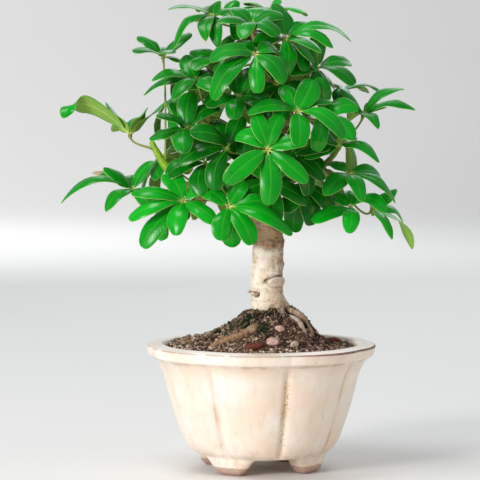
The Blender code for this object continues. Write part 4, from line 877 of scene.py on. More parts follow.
def bark_finish():
    """Pale cream bark with brown specks, brown higher up, green on young shoots, and dark in its scars.
    The brown on the trunk's right side and on the right roots is partly painted shade, and so is the dark
    along the scar's upper rim.

    The mesh gives "bark", which is brownness, greenness and darkness, and "scar", which is pinkness.
    """
    paint = Paint("pale bark")
    place = paint.place()
    brown, green, dark = paint.attribute("bark")
    pink = paint.attribute("scar")[0]
    flat = paint.stretched(place, 1, 1, 1.9)
    cloud = paint.noise(place, 9, 4, 0.6)
    grain = paint.noise(paint.stretched(place, 1, 1, 0.35), 1.6, 4, 0.65)
    fine = paint.noise(place, 0.7, 3)
    shaped = paint.noise(flat, 0.8, 2) * 0.16
    dots = paint.fade(paint.cells(flat, 2.1) + shaped, 0.14, 0.25) * paint.patches(place, 5, 0.46, 0.6)
    large = paint.fade(paint.cells(flat, 6) + shaped, 0.1, 0.16)
    peppered = paint.patches(flat, 0.9, 0.59, 0.66, 4, 0.75) * paint.patches(place, 7, 0.42, 0.56, 3)
    change_over = paint.clipped(brown * (1 - brown) * 4) * paint.patches(flat, 1.1, 0.5, 0.6, 3, 0.7)
    marks = paint.clipped(dots + large + peppered * 0.7 + change_over * 0.8)
    blotch = paint.patches(place, 3.0, 0.52, 0.64, 4, 0.7) * paint.step(cloud, 0.42, 0.58)
    streaks = paint.patches(paint.stretched(place, 0.22, 0.22, 1.6), 0.8, 0.48, 0.62, 3, 0.6)
    pale = paint.coats(
        paint.mix(paint.step(cloud, 0.35, 0.65), (252, 240, 226), (238, 218, 192)),
        (paint.step(grain, 0.5, 0.76) * 0.6, (186, 154, 120)),
    )
    tan = paint.coats(
        paint.mix(cloud, (208, 168, 130), (150, 113, 82)),
        (paint.step(grain, 0.45, 0.7) * 0.6, (98, 76, 54)),
    )
    shoot = paint.coats(
        paint.mix(cloud, (150, 186, 36), (92, 146, 28)),
        (paint.step(grain, 0.5, 0.72) * 0.4, (196, 206, 92)),
    )
    healed = paint.coats(
        paint.mix(cloud, (255, 240, 226), (240, 212, 192)),
        (streaks * 0.55, (190, 146, 120)),
    )
    wood = paint.coats(
        paint.mix(paint.clipped(brown + cloud * 0.5 - 0.25), pale, tan),
        (blotch * 0.55, (164, 130, 98)),
        (marks * 0.8, (104, 76, 56)),
        (green, shoot),
        (pink, healed),
        (paint.clipped(dark), (84, 60, 46)),
    )
    height = grain * 0.6 + fine * 0.3 - dots * 0.5 + streaks * pink * 0.3
    return paint.finish(
        Base_Color=wood,
        Roughness=paint.clipped(0.78 - green * 0.35 + fine * 0.1),
        Normal=paint.bump(height, 0.4, 0.9),
        Specular_IOR_Level=0.3,
    )


def soil_finish():
    """Dark gritty earth; the mesh gives "moss", the share of moss on it."""
    paint = Paint("gritty soil")
    place = paint.place()
    moss = paint.attribute("moss")[0]
    cloud = paint.noise(place, 7, 4, 0.6)
    fine = paint.noise(place, 0.9, 4, 0.7)
    crumbs = paint.cells(place, 1.5)
    earth = paint.coats(
        paint.mix(cloud, (118, 92, 73), (66, 49, 40)),
        (paint.step(fine, 0.5, 0.7), (156, 128, 106)),
        (paint.step(crumbs, 0.35, 0.6) * 0.6, (38, 28, 24)),
        (moss * paint.step(fine, 0.3, 0.5), (32, 40, 22)),
    )
    normal = paint.bump(fine * 0.6 - crumbs * 0.6, 0.8)
    return paint.finish(Base_Color=earth, Roughness=0.95, Normal=normal, Specular_IOR_Level=0.2)


def grit_finish():
    """Granules in browns, greys and pinks, and straw; the mesh gives "tone", which picks among them."""
    paint = Paint("grit")
    tone = paint.attribute("tone")[0]
    fine = paint.noise(paint.place(), 0.6, 3, 0.6)
    coats = [(paint.step(tone, low, high), colour) for low, high, colour in GRIT_COLOURS]
    coats.append((paint.step(fine, 0.5, 0.75) * 0.45, (78, 58, 46)))
    stone = paint.coats((54, 41, 35), *coats)
    normal = paint.bump(fine, 0.25)
    return paint.finish(Base_Color=stone, Roughness=0.9, Normal=normal, Specular_IOR_Level=0.25)


def moss_finish():
    """Moss that is nearly black at its foot and dark green at its tips, or olive brown by the trunk.

    The mesh gives "tuft", which is how light each spike is, 1 at its tip, and how olive it is.
    """
    paint = Paint("moss")
    tone, tip, olive = paint.attribute("tuft")
    green = paint.mix(tone, (38, 62, 42), (92, 116, 66))
    brown = paint.mix(tone, (92, 76, 42), (138, 116, 66))
    spike = paint.mix(tip, (22, 26, 20), paint.mix(olive, green, brown))
    return paint.finish(Base_Color=spike, Roughness=0.85, Specular_IOR_Level=0.2)


def stone_finish(name, light, dark):
    """A stone in two colours with veins, pores and a dusty surface."""
    paint = Paint(name)
    place = paint.place()
    cloud = paint.noise(place, 2.6, 4, 0.6, 0.4)
    fine = paint.noise(place, 0.5, 3, 0.6)
    veined = paint.mix(paint.step(cloud, 0.35, 0.65), light, dark)
    stone = paint.mix(paint.step(fine, 0.52, 0.72) * 0.55, veined, (110, 80, 66))
    normal = paint.bump(cloud + fine * 0.4, 0.5)
    return paint.finish(Base_Color=stone, Roughness=0.85, Normal=normal, Specular_IOR_Level=0.3)


def chip_finish():
    """Red-brown bark in thin layers."""
    paint = Paint("red bark")
    place = paint.place()
    layers = paint.noise(paint.stretched(place, 0.5, 1, 2.5), 1.1, 4, 0.6)
    fine = paint.noise(place, 0.5, 3)
    layered = paint.mix(layers, (146, 78, 62), (78, 38, 30))
    bark = paint.mix(paint.step(fine, 0.58, 0.75) * 0.5, layered, (182, 124, 100))
    normal = paint.bump(layers + fine * 0.3, 0.6)
    return paint.finish(Base_Color=bark, Roughness=0.88, Normal=normal, Specular_IOR_Level=0.25)


def floor_finish():
    """A pale floor, a little cloudy."""
    paint = Paint("pale floor")
    cloud = paint.noise(paint.place(), 400, 2)
    return paint.finish(Base_Color=paint.mix(cloud, (233, 231, 227), (228, 226, 223)), Roughness=0.7)


def smooth_line(knots, step):
    """Points along a Catmull-Rom curve through the knots, about a step apart; all columns are carried."""
    knots = np.array(knots, float)
    ends = np.vstack([2 * knots[0] - knots[1], knots, 2 * knots[-1] - knots[-2]])
    rows = []
    for a, b, c, d in zip(ends, ends[1:], ends[2:], ends[3:]):
        pieces = max(1, round(np.linalg.norm((c - b)[:3]) / step))
        t = np.linspace(0, 1, pieces, endpoint=False)[:, None]
        curve = 2 * b + (c - a) * t + (2 * a - 5 * b + 4 * c - d) * t**2
        rows.append(0.5 * (curve + (3 * b - a - 3 * c + d) * t**3))
    return np.vstack([*rows, knots[-1:]])


def tube(path, radius, sides):
    """Rings of that radius round a path, the unit directions out of them, and the turn of each column.

    Each ring's first direction is that of the ring before it, made square to the path again.
    """
    along = unit(np.gradient(path, axis=0))
    side = np.cross(along[0], ASKEW)
    across = []
    for ahead in along:
        side = unit(side - ahead * side.dot(ahead))
        across.append(side)
    across = np.array(across)
    beside = np.cross(along, across)
    turn = even_turns(sides)
    out = np.cos(turn)[None, :, None] * across[:, None] + np.sin(turn)[None, :, None] * beside[:, None]
    return path[:, None] + np.reshape(radius, (-1, 1, 1)) * out, out, turn


def lengths_along(path):
    """The distance from a path's first point to each of its points."""
    return np.concatenate([[0], np.cumsum(np.linalg.norm(np.diff(path, axis=0), axis=1))])


def pot_profile():
    """The pot's profile as rows of (radius, height, lobe share, channel share, way from the arris).

    The stations are joined by straight lines and cut into short samples. A narrow running mean rounds
    the corners, and where the softness is 1 a wide one takes its place. The body is bowed outwards a
    little, and rows are then taken at each station's own step.
    """
    stations = np.array(POT_STATIONS)
    ring = np.vstack([stations, stations[:1]])
    at = lengths_along(ring[:, :2])
    fine = np.linspace(0, at[-1], round(at[-1] / PROFILE_SAMPLE), endpoint=False)
    columns = np.array([np.interp(fine, at, ring[:, column]) for column in range(5)])
    narrow, wide = (running_mean(columns, width) for width in ROUNDING)
    blended = narrow + columns[4] * (wide - narrow)
    low, full, going, gone = BOW_HEIGHTS
    bow = ease(blended[1], low, full) * (1 - ease(blended[1], going, gone)) * blended[3]
    blended[0] += BODY_BOW * bow
    rows = np.concatenate([
        np.linspace(start, end, max(2, math.ceil((end - start) / step)), endpoint=False)
        for start, end, step in zip(at, at[1:], stations[:, 5])
    ])
    picked = [np.interp(rows, fine, column, period=at[-1]) for column in blended[:4]]
    return joined(*picked, rows - at[ARRIS])


def running_mean(columns, width):
    """Each column's mean under a bell of that many samples' spread, with the ends joined."""
    offsets = np.arange(-3 * width, 3 * width + 1)
    weights = np.exp(-((offsets / width) ** 2) / 2)
    rolled = (np.roll(columns, offset, axis=1) * weight for offset, weight in zip(offsets, weights))
    return sum(rolled) / weights.sum()


def pot_turns():
    """Column angles, crowded towards the channels by u - c * sin(2 pi u) / (2 pi) within each lobe."""
    u = np.arange(POT_COLUMNS) * LOBES / POT_COLUMNS
    crowded = u - COLUMN_CROWDING * np.sin(math.tau * u) / math.tau
    return FIRST_CHANNEL + crowded * LOBE_SPAN


def soft_least(first, second, width):
    """The smaller of two numbers, with a fillet of about that width where they cross."""
    return -width * np.logaddexp(-first / width, -second / width)


def off_nearest(turn, first, span):
    """The angle from the nearest of the places that start at the first and follow each other by a span."""
    return (turn - first + span / 2) % span - span / 2


def make_pot(finish):
    """A profile carried round the axis, less its lobes and channels, with feet drawn down from the base."""
    radius, height, lobes, channels, way = pot_profile().T[:, :, None]
    turn = pot_turns()[None, :]
    off = off_nearest(turn, FIRST_CHANNEL, LOBE_SPAN)
    fall = LOBE_RISE * (1 - np.abs(off) / (LOBE_SPAN / 2)) ** LOBE_POWER
    channel = CHANNEL_DEPTH * bell(off * radius, CHANNEL_HALF_WIDTH, 2.1)
    bottom = FOOT_HIDDEN * ease(np.abs(off_nearest(turn, FIRST_FOOT, FOOT_SPAN)), FOOT_FLAT, FOOT_WIDE)
    foot = bottom + np.interp(radius, *zip(*FOOT_LIFTS)) * (FOOT_TOP - bottom)
    below = (way < 0) & (height < BASE_TOP) & (radius > BASE_INNER)
    height = np.where(below, soft_least(height + 0 * turn, foot, BASE_SOFTNESS), height + 0 * turn)
    points = around(turn, radius - lobes * fall - channels * channel, np.maximum(height, 0))
    uneven = UNEVENNESS * rough(points, 17, 3, 2) * (points[..., 2] > FOOT_SOLE)
    points = points + around(turn) * uneven[..., None]
    close = ease(channels, 0.05, 0.8) * (1 - ease(np.abs(off) * radius, 5, 8))
    across, past_arris = (np.clip(far, -SEAM_REACH, SEAM_REACH) for far in (off * radius, way))
    seam = joined(across, past_arris, close)
    shape = Shape(seam=3)
    rows, columns = height.shape
    shape.add(points.reshape(-1, 3), grid_quads(rows, columns, True), seam=seam.reshape(-1, 3))
    shape.piece("pot_glazed", finish, ["pot"])


LATTICE_STEP = 3
LATTICE = np.arange(-66, 67, LATTICE_STEP)
LUMPS = np.array([
    [solid_noise.noise(Vector((x, y, 0)) / SOIL_LUMP_SIZE) for x in LATTICE] for y in LATTICE
])


def soil_height(x, y):
    """The flat soil plus a mound that falls fast on the right and slowly on the left, and lumps.

    The lumps are those of the solid, read off a lattice by its four values round each place.
    """
    dx, dy = x - MOUND_CENTRE[0], y - MOUND_CENTRE[1]
    distance = np.hypot(dx, dy)
    left = 0.5 - 0.5 * dx / np.maximum(distance, 1)
    scale = MOUND_RIGHT[0] + left * (MOUND_LEFT[0] - MOUND_RIGHT[0])
    power = MOUND_RIGHT[1] + left * (MOUND_LEFT[1] - MOUND_RIGHT[1])
    mound = MOUND_HEIGHT * bell(distance, scale, power)
    column, row = (x - LATTICE[0]) / LATTICE_STEP, (y - LATTICE[0]) / LATTICE_STEP
    c, r = np.floor(column).astype(int), np.floor(row).astype(int)
    u, v = ease(column - c, 0, 1), ease(row - r, 0, 1)
    lump = ((LUMPS[r, c] * (1 - u) + LUMPS[r, c + 1] * u) * (1 - v)
            + (LUMPS[r + 1, c] * (1 - u) + LUMPS[r + 1, c + 1] * u) * v)
    return SOIL_RIM + mound + SOIL_LUMP * lump


def clear_ground(x, y):
    """0 on the stones, the flakes and the bare parts of the roots, and 1 a few millimetres away."""
    clear = np.ones(np.broadcast(x, y).shape)
    for place, half, _ in [*STONES.values(), *CHIPS.values()]:
        clear = clear * (1 - bell(np.hypot(x - place[0], y - place[1]), half[0] * 0.85 + 1.2, 4))
    for root in ROOTS:
        for px, py, pz, radius in smooth_line(root[1:], 3):
            if pz + radius > soil_height(px, py):
                clear = clear * (1 - bell(np.hypot(x - px, y - py), 2.9, 4))
    return clear


def moss_share(x, y):
    """From 0 to 1: bells over the moss patches and round the trunk, broken up by noise."""
    share = 0.85 * bell(np.hypot(x - TRUNK_X, y) - 13, 5)
    for px, py, reach in MOSS_PATCHES:
        share = share + 0.95 * bell(np.hypot(x - px, y - py), reach * 0.8)
    return np.clip(share + 0.6 * rough(joined(x, y, 0), 6, 21, 3) - 0.28, 0, 1)


def ground(x, y):
    """The height of the soil with its clods and cushions of moss, calm round all that lies on it."""
    places = joined(x, y, 0)
    clods = 1.5 * rough(places, 7, 11, 4) + 1.1 * np.abs(rough(places, 3, 17, 2)) - 0.3
    shoulder = 1.8 * bell(np.hypot(x + 8, y + 2) - 4, 7)
    cushions = moss_share(x, y) * (1.4 + shoulder + 1.1 * rough(places, 4.5, 25, 2))
    edge = 1.6 * ease(np.hypot(x, y), 59.5, SOIL_EDGE)
    return soil_height(x, y) + clear_ground(x, y) * (clods + cushions) - edge


def make_soil(finish):
    """Rings from the hidden bottom up the side and then in over the mound with its clods."""
    turn = even_turns(SOIL_COLUMNS)[None, :]
    low = np.array(SOIL_SIDE)
    inward = SOIL_EDGE * (1 - (np.arange(SOIL_RINGS) / SOIL_RINGS) ** 1.15)
    radius = np.concatenate([low[:, 0], inward])[:, None]
    x, y = radius * np.cos(turn), radius * np.sin(turn)
    side = np.arange(len(radius))[:, None] < len(low)
    height = np.where(side, np.append(low[:, 1], inward)[:, None], ground(x, y))
    shape = Shape(moss=1)
    bottom, peak = (0, 0, low[0, 1]), (0, 0, height[-1].mean())
    shape.add_tube(joined(x, y, height), bottom, peak, moss=moss_share(x, y))
    shape.piece("soil_mound", finish, ["soil"])


def icosahedron():
    """The twelve corners and twenty faces of a solid with triangles, radius 1."""
    tall, wide = unit(np.array((1, (1 + math.sqrt(5)) / 2)))
    corners = []
    for a in (-tall, tall):
        for b in (-wide, wide):
            corners += [(0, a, b), (a, b, 0), (b, 0, a)]
    corners = np.array(corners)
    gaps = np.linalg.norm(corners[:, None] - corners[None], axis=-1)
    near = (gaps > 0.1) & (gaps < 1.1)
    meet = [(i, j, k) for i, j, k in np.ndindex(12, 12, 12) if near[i, j] and near[j, k] and near[i, k]]
    faces = [(i, j, k) for i, j, k in meet if i < min(j, k) and np.linalg.det(corners[[i, j, k]]) > 0]
    return corners, np.array(faces)


def turns_about(chance, count, lean):
    """Random rotation matrices: a turn about z after a lean of up to that angle about a level axis."""
    spin, way = chance.uniform(0, math.tau, (2, count))
    tilt = chance.uniform(0, lean, count)
    level = around(way)
    c, s = np.cos(tilt)[:, None, None], np.sin(tilt)[:, None, None]
    cross = np.zeros((count, 3, 3))
    cross[:, 0, 2], cross[:, 1, 2] = level[:, 1], -level[:, 0]
    cross[:, 2, 0], cross[:, 2, 1] = -level[:, 1], level[:, 0]
    leaning = c * np.eye(3) + s * cross + (1 - c) * level[:, :, None] * level[:, None, :]
    turning = np.zeros((count, 3, 3))
    turning[:, 0, 0] = turning[:, 1, 1] = np.cos(spin)
    turning[:, 1, 0], turning[:, 0, 1] = np.sin(spin), -np.sin(spin)
    turning[:, 2, 2] = 1
    return leaning @ turning


def on_soil(chance, count, clear):
    """Places on the soil inside the rim and off the trunk."""
    radius = (SOIL_EDGE - 1.2) * np.sqrt(chance.uniform(0, 1, count))
    turn = chance.uniform(0, math.tau, count)
    x, y = radius * np.cos(turn), radius * np.sin(turn)
    free = (np.hypot(x - TRUNK_X, y) > clear) & (clear_ground(x, y) > chance.uniform(0, 1, count))
    return x[free], y[free]


def add_many(shape, corners, faces, x, y, height, **values):
    """Adds one small solid at each place, where corners are (solid, corner, 3) and faces repeat."""
    count, each = corners.shape[:2]
    points = corners + joined(x, y, height)[:, None]
    triangles = faces[None] + each * np.arange(count)[:, None, None]
    shape.add(points.reshape(-1, 3), triangles=triangles.reshape(-1, 3), **values)


def strew(shape, chance, x, y, kind, tone):
    """Adds a battered twenty-sided granule at each place, its three half sizes drawn between limits."""
    corners, faces = icosahedron()
    count = len(x)
    _, half, flat, lean, sunk = kind
    size = chance.uniform(*half, (count, 1)) * chance.uniform(0.75, 1.25, (count, 3)) * (1, 0.85, flat)
    battered = corners[None] * chance.uniform(0.78, 1.15, (count, 12, 1)) * size[:, None]
    turned = battered @ turns_about(chance, count, lean).transpose(0, 2, 1)
    height = ground(x, y) + size.min(1) * (1 - 2 * sunk)
    add_many(shape, turned, faces, x, y, height, tone=np.repeat(tone, 12))


def make_grit(finish):
    """Granules off the moss, paler in front and on the left, dark grains in the middle, and thin flakes."""
    chance = np.random.default_rng(GRIT_DRAW)
    clear = CLEAR_OF_TRUNK["grit"]
    shape = Shape(tone=1)
    for kind in GRANULES:
        x, y = on_soil(chance, kind[0], clear)
        bare = chance.uniform(0, 1, len(x)) > moss_share(x, y) * 0.85
        x, y = x[bare], y[bare]
        pale = 0.8 + 0.3 * ease(-0.6 * x - y, -5, 45)
        tone = np.minimum(chance.uniform(0, 0.98, len(x)) * pale, 0.93)
        strew(shape, chance, x, y, kind, tone)
    x, y = on_soil(chance, DARK_GRAINS[0], clear)
    near = bell(np.hypot(x - 3, y), 32, 4) > chance.uniform(0, 1, len(x))
    x, y = x[near], y[near]
    strew(shape, chance, x, y, DARK_GRAINS, chance.uniform(0.05, 0.42, len(x)))
    x, y = on_soil(chance, FLAKES[0], clear)
    strew(shape, chance, x, y, FLAKES, chance.choice(FLAKE_TONES, len(x)))
    shape.piece("soil_grit", finish)


def make_strands(finish):
    """Thin dry roots on the soil, each a bowed line on which both its ends are taken to a point."""
    chance = np.random.default_rng(STRAND_DRAW)
    x, y = on_soil(chance, STRANDS, CLEAR_OF_TRUNK["strands"])
    count = len(x)
    way = chance.uniform(0, math.tau, count)[:, None]
    reach = chance.uniform(1.6, 6.0, count)[:, None]
    bow = chance.uniform(-0.5, 0.5, count)[:, None]
    s = np.linspace(-1, 1, 8)[None, :]
    along, beside = reach * s, reach * bow * (1 - s**2)
    px = x[:, None] + along * np.cos(way) - beside * np.sin(way)
    py = y[:, None] + along * np.sin(way) + beside * np.cos(way)
    inside = np.hypot(px, py).max(1) < SOIL_EDGE - 1
    lift = chance.uniform(0, 1.1, count)[:, None] * (1 - s**2) + 0.15
    path = joined(px, py, ground(px, py) + lift)[inside]
    radius = (chance.uniform(0.15, 0.4, count)[:, None] * (1 - 0.7 * s**2))[inside]
    straw = (chance.uniform(0, 1, count) < STRAW_SHARE) & (x < -2) & (y < 14)
    tone = np.where(straw, STRAW_TONE, chance.uniform(0.1, 0.8, count))[inside]
    shape = Shape(tone=1)
    for line, size, shade in zip(path, radius, tone):
        shape.add_tube(tube(line, size, 5)[0], line[0], line[-1], tone=shade)
    for knots in SPRIG:
        line = smooth_line(knots, 0.8)
        shape.add_tube(tube(line[:, :3], line[:, 3], 7)[0], line[0, :3], line[-1, :3], tone=SPRIG_TONE)
    shape.piece("soil_strands", finish)


def make_moss(finish):
    """Three-sided spikes, thickest in the patches, leaning every way about the upright."""
    chance = np.random.default_rng(MOSS_DRAW)
    x, y = on_soil(chance, MOSS_SPIKES, CLEAR_OF_TRUNK["moss"])
    grown = chance.uniform(0, 1, len(x)) < moss_share(x, y) ** 1.2 * 0.75
    x, y = x[grown], y[grown]
    count = len(x)
    places = joined(x, y, 0)
    spike = np.vstack([around(even_turns(3)) * SPIKE_HALF_WIDTH, (0, 0, 1)])
    faces = np.array(((0, 1, 3), (1, 2, 3), (2, 0, 3), (0, 2, 1)))
    clump = 0.6 + 0.5 * rough(places, 4, 33, 2)
    tall = chance.uniform(0.7, 2.1, count) * np.maximum(clump, 0.2)
    upright = spike[None] * joined(1, 1, tall)[:, None]
    spikes = upright @ turns_about(chance, count, SPIKE_LEAN).transpose(0, 2, 1)
    tone = np.clip(chance.uniform(0, 0.75, count) + 0.35 * (clump - 0.4), 0, 1)
    by_trunk = bell(np.hypot(x - TRUNK_X, y) - 12, 5) * ease(x - 0.4 * y, -6, 6)
    olive = by_trunk + 0.25 * rough(places, 5, 35, 2) + chance.uniform(-0.2, 0.2, count) > 0.35
    tuft = joined(np.repeat(tone, 4), np.tile((0, 0, 0, 1), count), np.repeat(olive, 4))
    shape = Shape(tuft=3)
    add_many(shape, spikes, faces, x, y, ground(x, y) + 0.1, tuft=tuft)
    shape.piece("moss_tufts", finish)


def make_stone(name, finish):
    """A ball cut by random planes, stretched to the half sizes of the solid and roughened by noise.

    Along a direction d the plane with the normal n stands at s / (n . d); the radius is the soft least
    of those and of 1.1, so that the edges between the faces are a little worn.
    """
    place, half, turn = STONES[name]
    chance = np.random.default_rng(len(name) + STONE_DRAW)
    latitude = np.radians(np.linspace(-84, 84, 40))[:, None]
    way = around(even_turns(64)[None, :], np.cos(latitude), np.sin(latitude))
    normals = unit(chance.normal(size=(STONE_FACES, 3)))
    facing = np.maximum(way @ normals.T, 0.05)
    reach = np.minimum(chance.uniform(0.78, 1.0, STONE_FACES) / facing, 9)
    reach = np.append(reach, np.full_like(reach[..., :1], 1.1), -1)
    radius = -STONE_WEAR * np.logaddexp.reduce(-reach / STONE_WEAR, axis=-1)
    rough_body(name, finish, way * radius[..., None] * half, place, turn, 0.5, half[2])


def make_chip(name, finish):
    """A leaning, splintered flake: an outline with pointed ends that narrows towards its two faces."""
    place, half, turn = CHIPS[name]
    ring = smooth_line(CHIP_OUTLINE + CHIP_OUTLINE[:1], 0.2)[:-1, :2]
    level, share = np.array(CHIP_LEVELS).T[:, :, None]
    x = half[0] * share * ring[None, :, 0]
    y = half[1] * share * ring[None, :, 1]
    splinters = 0.3 * rough(joined(0.3 * x, 1.5 * y, 0), 1.6, 3, 3)
    z = half[2] * level + 0.06 * x + splinters * (level > 0)
    c, s = math.cos(CHIP_LEANS[name]), math.sin(CHIP_LEANS[name])
    grid = joined(x, y * c - z * s, z * c + y * s)
    rough_body(name, finish, grid[:, ::-1], place, turn, 0.3, half[2])


def rough_body(name, finish, grid, place, turn, strength, half_height):
    """A closed grid about its centre, moved out by noise, turned about z and put in its place."""
    worn = rough(grid + np.array(place), 3.4, 5, 3)
    grid = grid * (1 + strength * 0.3 * np.clip(worn, -0.9, 0.25)[..., None])
    c, s = math.cos(turn), math.sin(turn)
    grid = grid @ np.array(((c, s, 0), (-s, c, 0), (0, 0, 1))) + place
    crown = (0, 0, 0.02 * half_height)
    shape = Shape()
    shape.add_tube(grid, grid[0].mean(0) - crown, grid[-1].mean(0) + crown)
    shape.piece(f"{name}_weathered", finish, [name])


def oval(points, mark):
    """How far each point is from a mark's centre, in shares of its half sizes along and up, and those."""
    place, (half_along, half_up), turn = mark
    rel = points - np.array(place)
    along = (rel[..., 0] * math.cos(turn) + rel[..., 1] * math.sin(turn)) / half_along
    depth = rel[..., 0] * math.sin(turn) - rel[..., 1] * math.cos(turn)
    up = rel[..., 2] / half_up
    return np.where(depth > -5, np.hypot(along, up), 9), along, up


def bark_tube(knots, sides, step, relief):
    """A tube along knots with the relief of bark: broad swellings, long cracks and fine grain.

    The relief is read at (radius cos turn, radius sin turn, length), stretched so that cracks run along.
    Gives the grid, the directions out, the heights, the share of the length and the line.
    """
    line = smooth_line(knots, step)
    path, radius = line[:, :3], line[:, 3]
    grid, out, turn = tube(path, radius, sides)
    way = lengths_along(path)[:, None]
    flat = around(turn, radius[:, None], way) + path[0]
    crack = rough(flat * (1, 1, 0.3), 2.4, 5, 3)
    height = 0.5 * rough(flat, 13, 1, 2) - 0.4 * np.clip(crack - 0.15, 0, 1) + 0.14 * rough(flat, 1.3, 9, 2)
    return grid, out, height * relief, np.broadcast_to(way / way[-1], height.shape), line


def add_bark(shape, grid, out, height, line, brown, green, dark, pink=0.0):
    """Adds a tube of bark, moved out by its heights and closed by a point beyond each end of its line."""
    grid = grid + out * height[..., None]
    ahead = unit(line[-1, :3] - line[-2, :3]) * line[-1, 3]
    behind = unit(line[0, :3] - line[1, :3]) * line[0, 3] * 0.3
    bark = joined(brown, green, dark)
    shape.add_tube(grid, line[0, :3] + behind, line[-1, :3] + ahead, bark=bark, scar=pink)


def add_trunk(shape):
    """The trunk's tube: rings, a rough band, a flared foot, the scar, the cut shoot's place and knots."""
    grid, out, height, _, line = bark_tube(TRUNK, *TRUNK_TUBE)
    z = grid[..., 2]
    turn = np.arctan2(grid[..., 1], grid[..., 0] - TRUNK_X)
    wobble = 0.9 * np.sin(turn * 2 + z[:, :1] * 0.5) + 0.9 * rough(grid, 5, 71, 2)
    broken = ease(rough(grid, 6, 77, 2), -0.35, 0.35)
    dark = np.zeros(z.shape)
    for level, depth in BARK_RINGS:
        ring = bell(z + wobble - level, 0.6) * broken
        height = height - depth * ring + 0.6 * depth * bell(z + wobble - level - 1.5, 0.9)
        dark = dark + ring * depth * 0.55
    band = bell(z + wobble * 0.5 - ROUGH_BAND, 3.4, 4)
    height = height + band * (0.35 + 0.35 * rough(grid, 1.8, 81, 3))
    dark = dark + band * 0.5 * ease(rough(grid, 2, 83, 3), -0.2, 0.6)
    flare = np.exp(-np.maximum(z - FOOT_LEVEL, 0) / 7)
    height = height + 1.5 * flare * np.cos(3 * turn + 0.7)

    far, along, up = oval(grid, SCAR)
    inside = 1 - ease(far, 0.75, 1.05)
    fold = bell(up + 1.45 - 0.5 * along**2, 0.34) * (1 - ease(np.abs(along), 0.55, 1)) * (far < 8)
    rim = bell(far - 1.1, 0.12) * (0.7 + 0.5 * broken)
    height = height + 1.2 * inside + 0.5 * bell(far - 0.85, 0.2) - 0.3 * bell(far, 0.45)
    height = height + 0.5 * inside * rough(grid * (0.4, 0.4, 1), 1.4, 87, 2)
    height = height - 0.45 * bell(far - 1.18, 0.16) + 0.9 * fold
    # Painted shade: the scar's rim is darkened, most along its overhanging upper edge.
    dark = dark + 1.2 * rim * ease(up - 0.4 * along, -0.1, 0.6) + 0.35 * rim * ease(-up, 0.2, 0.8)
    dark = dark + 0.3 * bell(up - 0.1 * np.sin(4 * along), 0.09) * inside * broken
    pink = inside * 0.9 + 0.5 * fold

    far, _, _ = oval(grid, STUB)
    height = height + 1.1 * (1 - ease(far, 0.2, 1.3))
    dark = dark + 0.35 * bell(far - 1.0, 0.25) * broken
    pink = pink + 0.45 * (1 - ease(far, 0.5, 1.3))
    for x, y, level, reach, rise in KNOTS:
        far = np.linalg.norm((grid - (x, y, level)) / (1, 1, 0.7), axis=-1) / reach
        height = height + rise * bell(far, 0.8) - 0.5 * rise * bell(far, 0.35)
        dark = dark + 0.8 * bell(far, 0.45)

    # The brown on the trunk's right side, turned from the light, is partly its own tan bark and partly
    # painted shade, broken up by noise.
    shaded = ease(np.cos(turn + 0.5), 0.2, 0.95) * ease(z, 108, 138)
    shaded = shaded * ease(rough(grid, 7, 93, 3), -0.6, 0.5)
    brown = ease(z + 1.5 * np.sin(turn * 3), *BROWN_FROM) * 0.85 + 0.2 * ease(z, 165, 200)
    # Painted shade as brownness on the right side: the shaded patches and a further band towards +x.
    brown = brown + 0.75 * shaded + 0.35 * ease(np.cos(turn), 0.5, 1)
    dark = dark + 0.4 * (1 - ease(z, 97, 107)) * ease(rough(grid, 4, 91, 3), -0.4, 0.5)
    green = 0.25 * ease(z, *GREEN_FROM)
    add_bark(shape, grid, out, height, line, np.clip(brown, 0, 1), green, dark, np.clip(pink, 0, 1))


def add_cut_twig(shape):
    """The stub of the cut shoot: a knobbly tube that is split and dark towards its end."""
    grid, out, height, share, line = bark_tube(CUT_TWIG, *TWIG_TUBE)
    knob = bell(share - 0.42, 0.16)
    splits = rough(grid * (0.5, 1, 1.4), 0.9, 107, 3)
    height = height + 0.3 * knob + 0.3 * splits * (1 - 0.6 * share)
    dark = 0.45 * knob + 0.6 * ease(-splits, 0.1, 0.6)
    add_bark(shape, grid, out, height, line, 0.8, 0, dark, 0.55 * ease(share, 0.5, 0.8))


def add_branches(shape):
    """Brown branches with rings, each green towards its end, the first one most."""
    for number, branch in enumerate(BRANCHES):
        grid, out, height, share, line = bark_tube(branch, *BRANCH_TUBE)
        green = ease(share, 0.45, 0.66) * (1.0 if number == 0 else 0.75)
        rings = bell((share * 11) % 1 - 0.5, 0.13)
        dark = 0.3 * rings * (1 - green * 0.5)
        add_bark(shape, grid, out, height - 0.22 * rings, line, 0.95, green, dark)


def add_flares(shape):
    """Ridged flares where roots leave the trunk's foot."""
    for flare in FOOT_FLARES:
        grid, out, height, share, line = bark_tube(flare, *FLARE_TUBE)
        ridges = 0.3 * rough(grid * (1, 1, 0.6), 2.2, 103, 3)
        specks = 0.5 * ease(rough(grid, 2.4, 105, 3), 0.1, 0.6)
        add_bark(shape, grid, out, height + ridges, line, 0.15 + 0.5 * share, 0, specks + 0.3 * share)


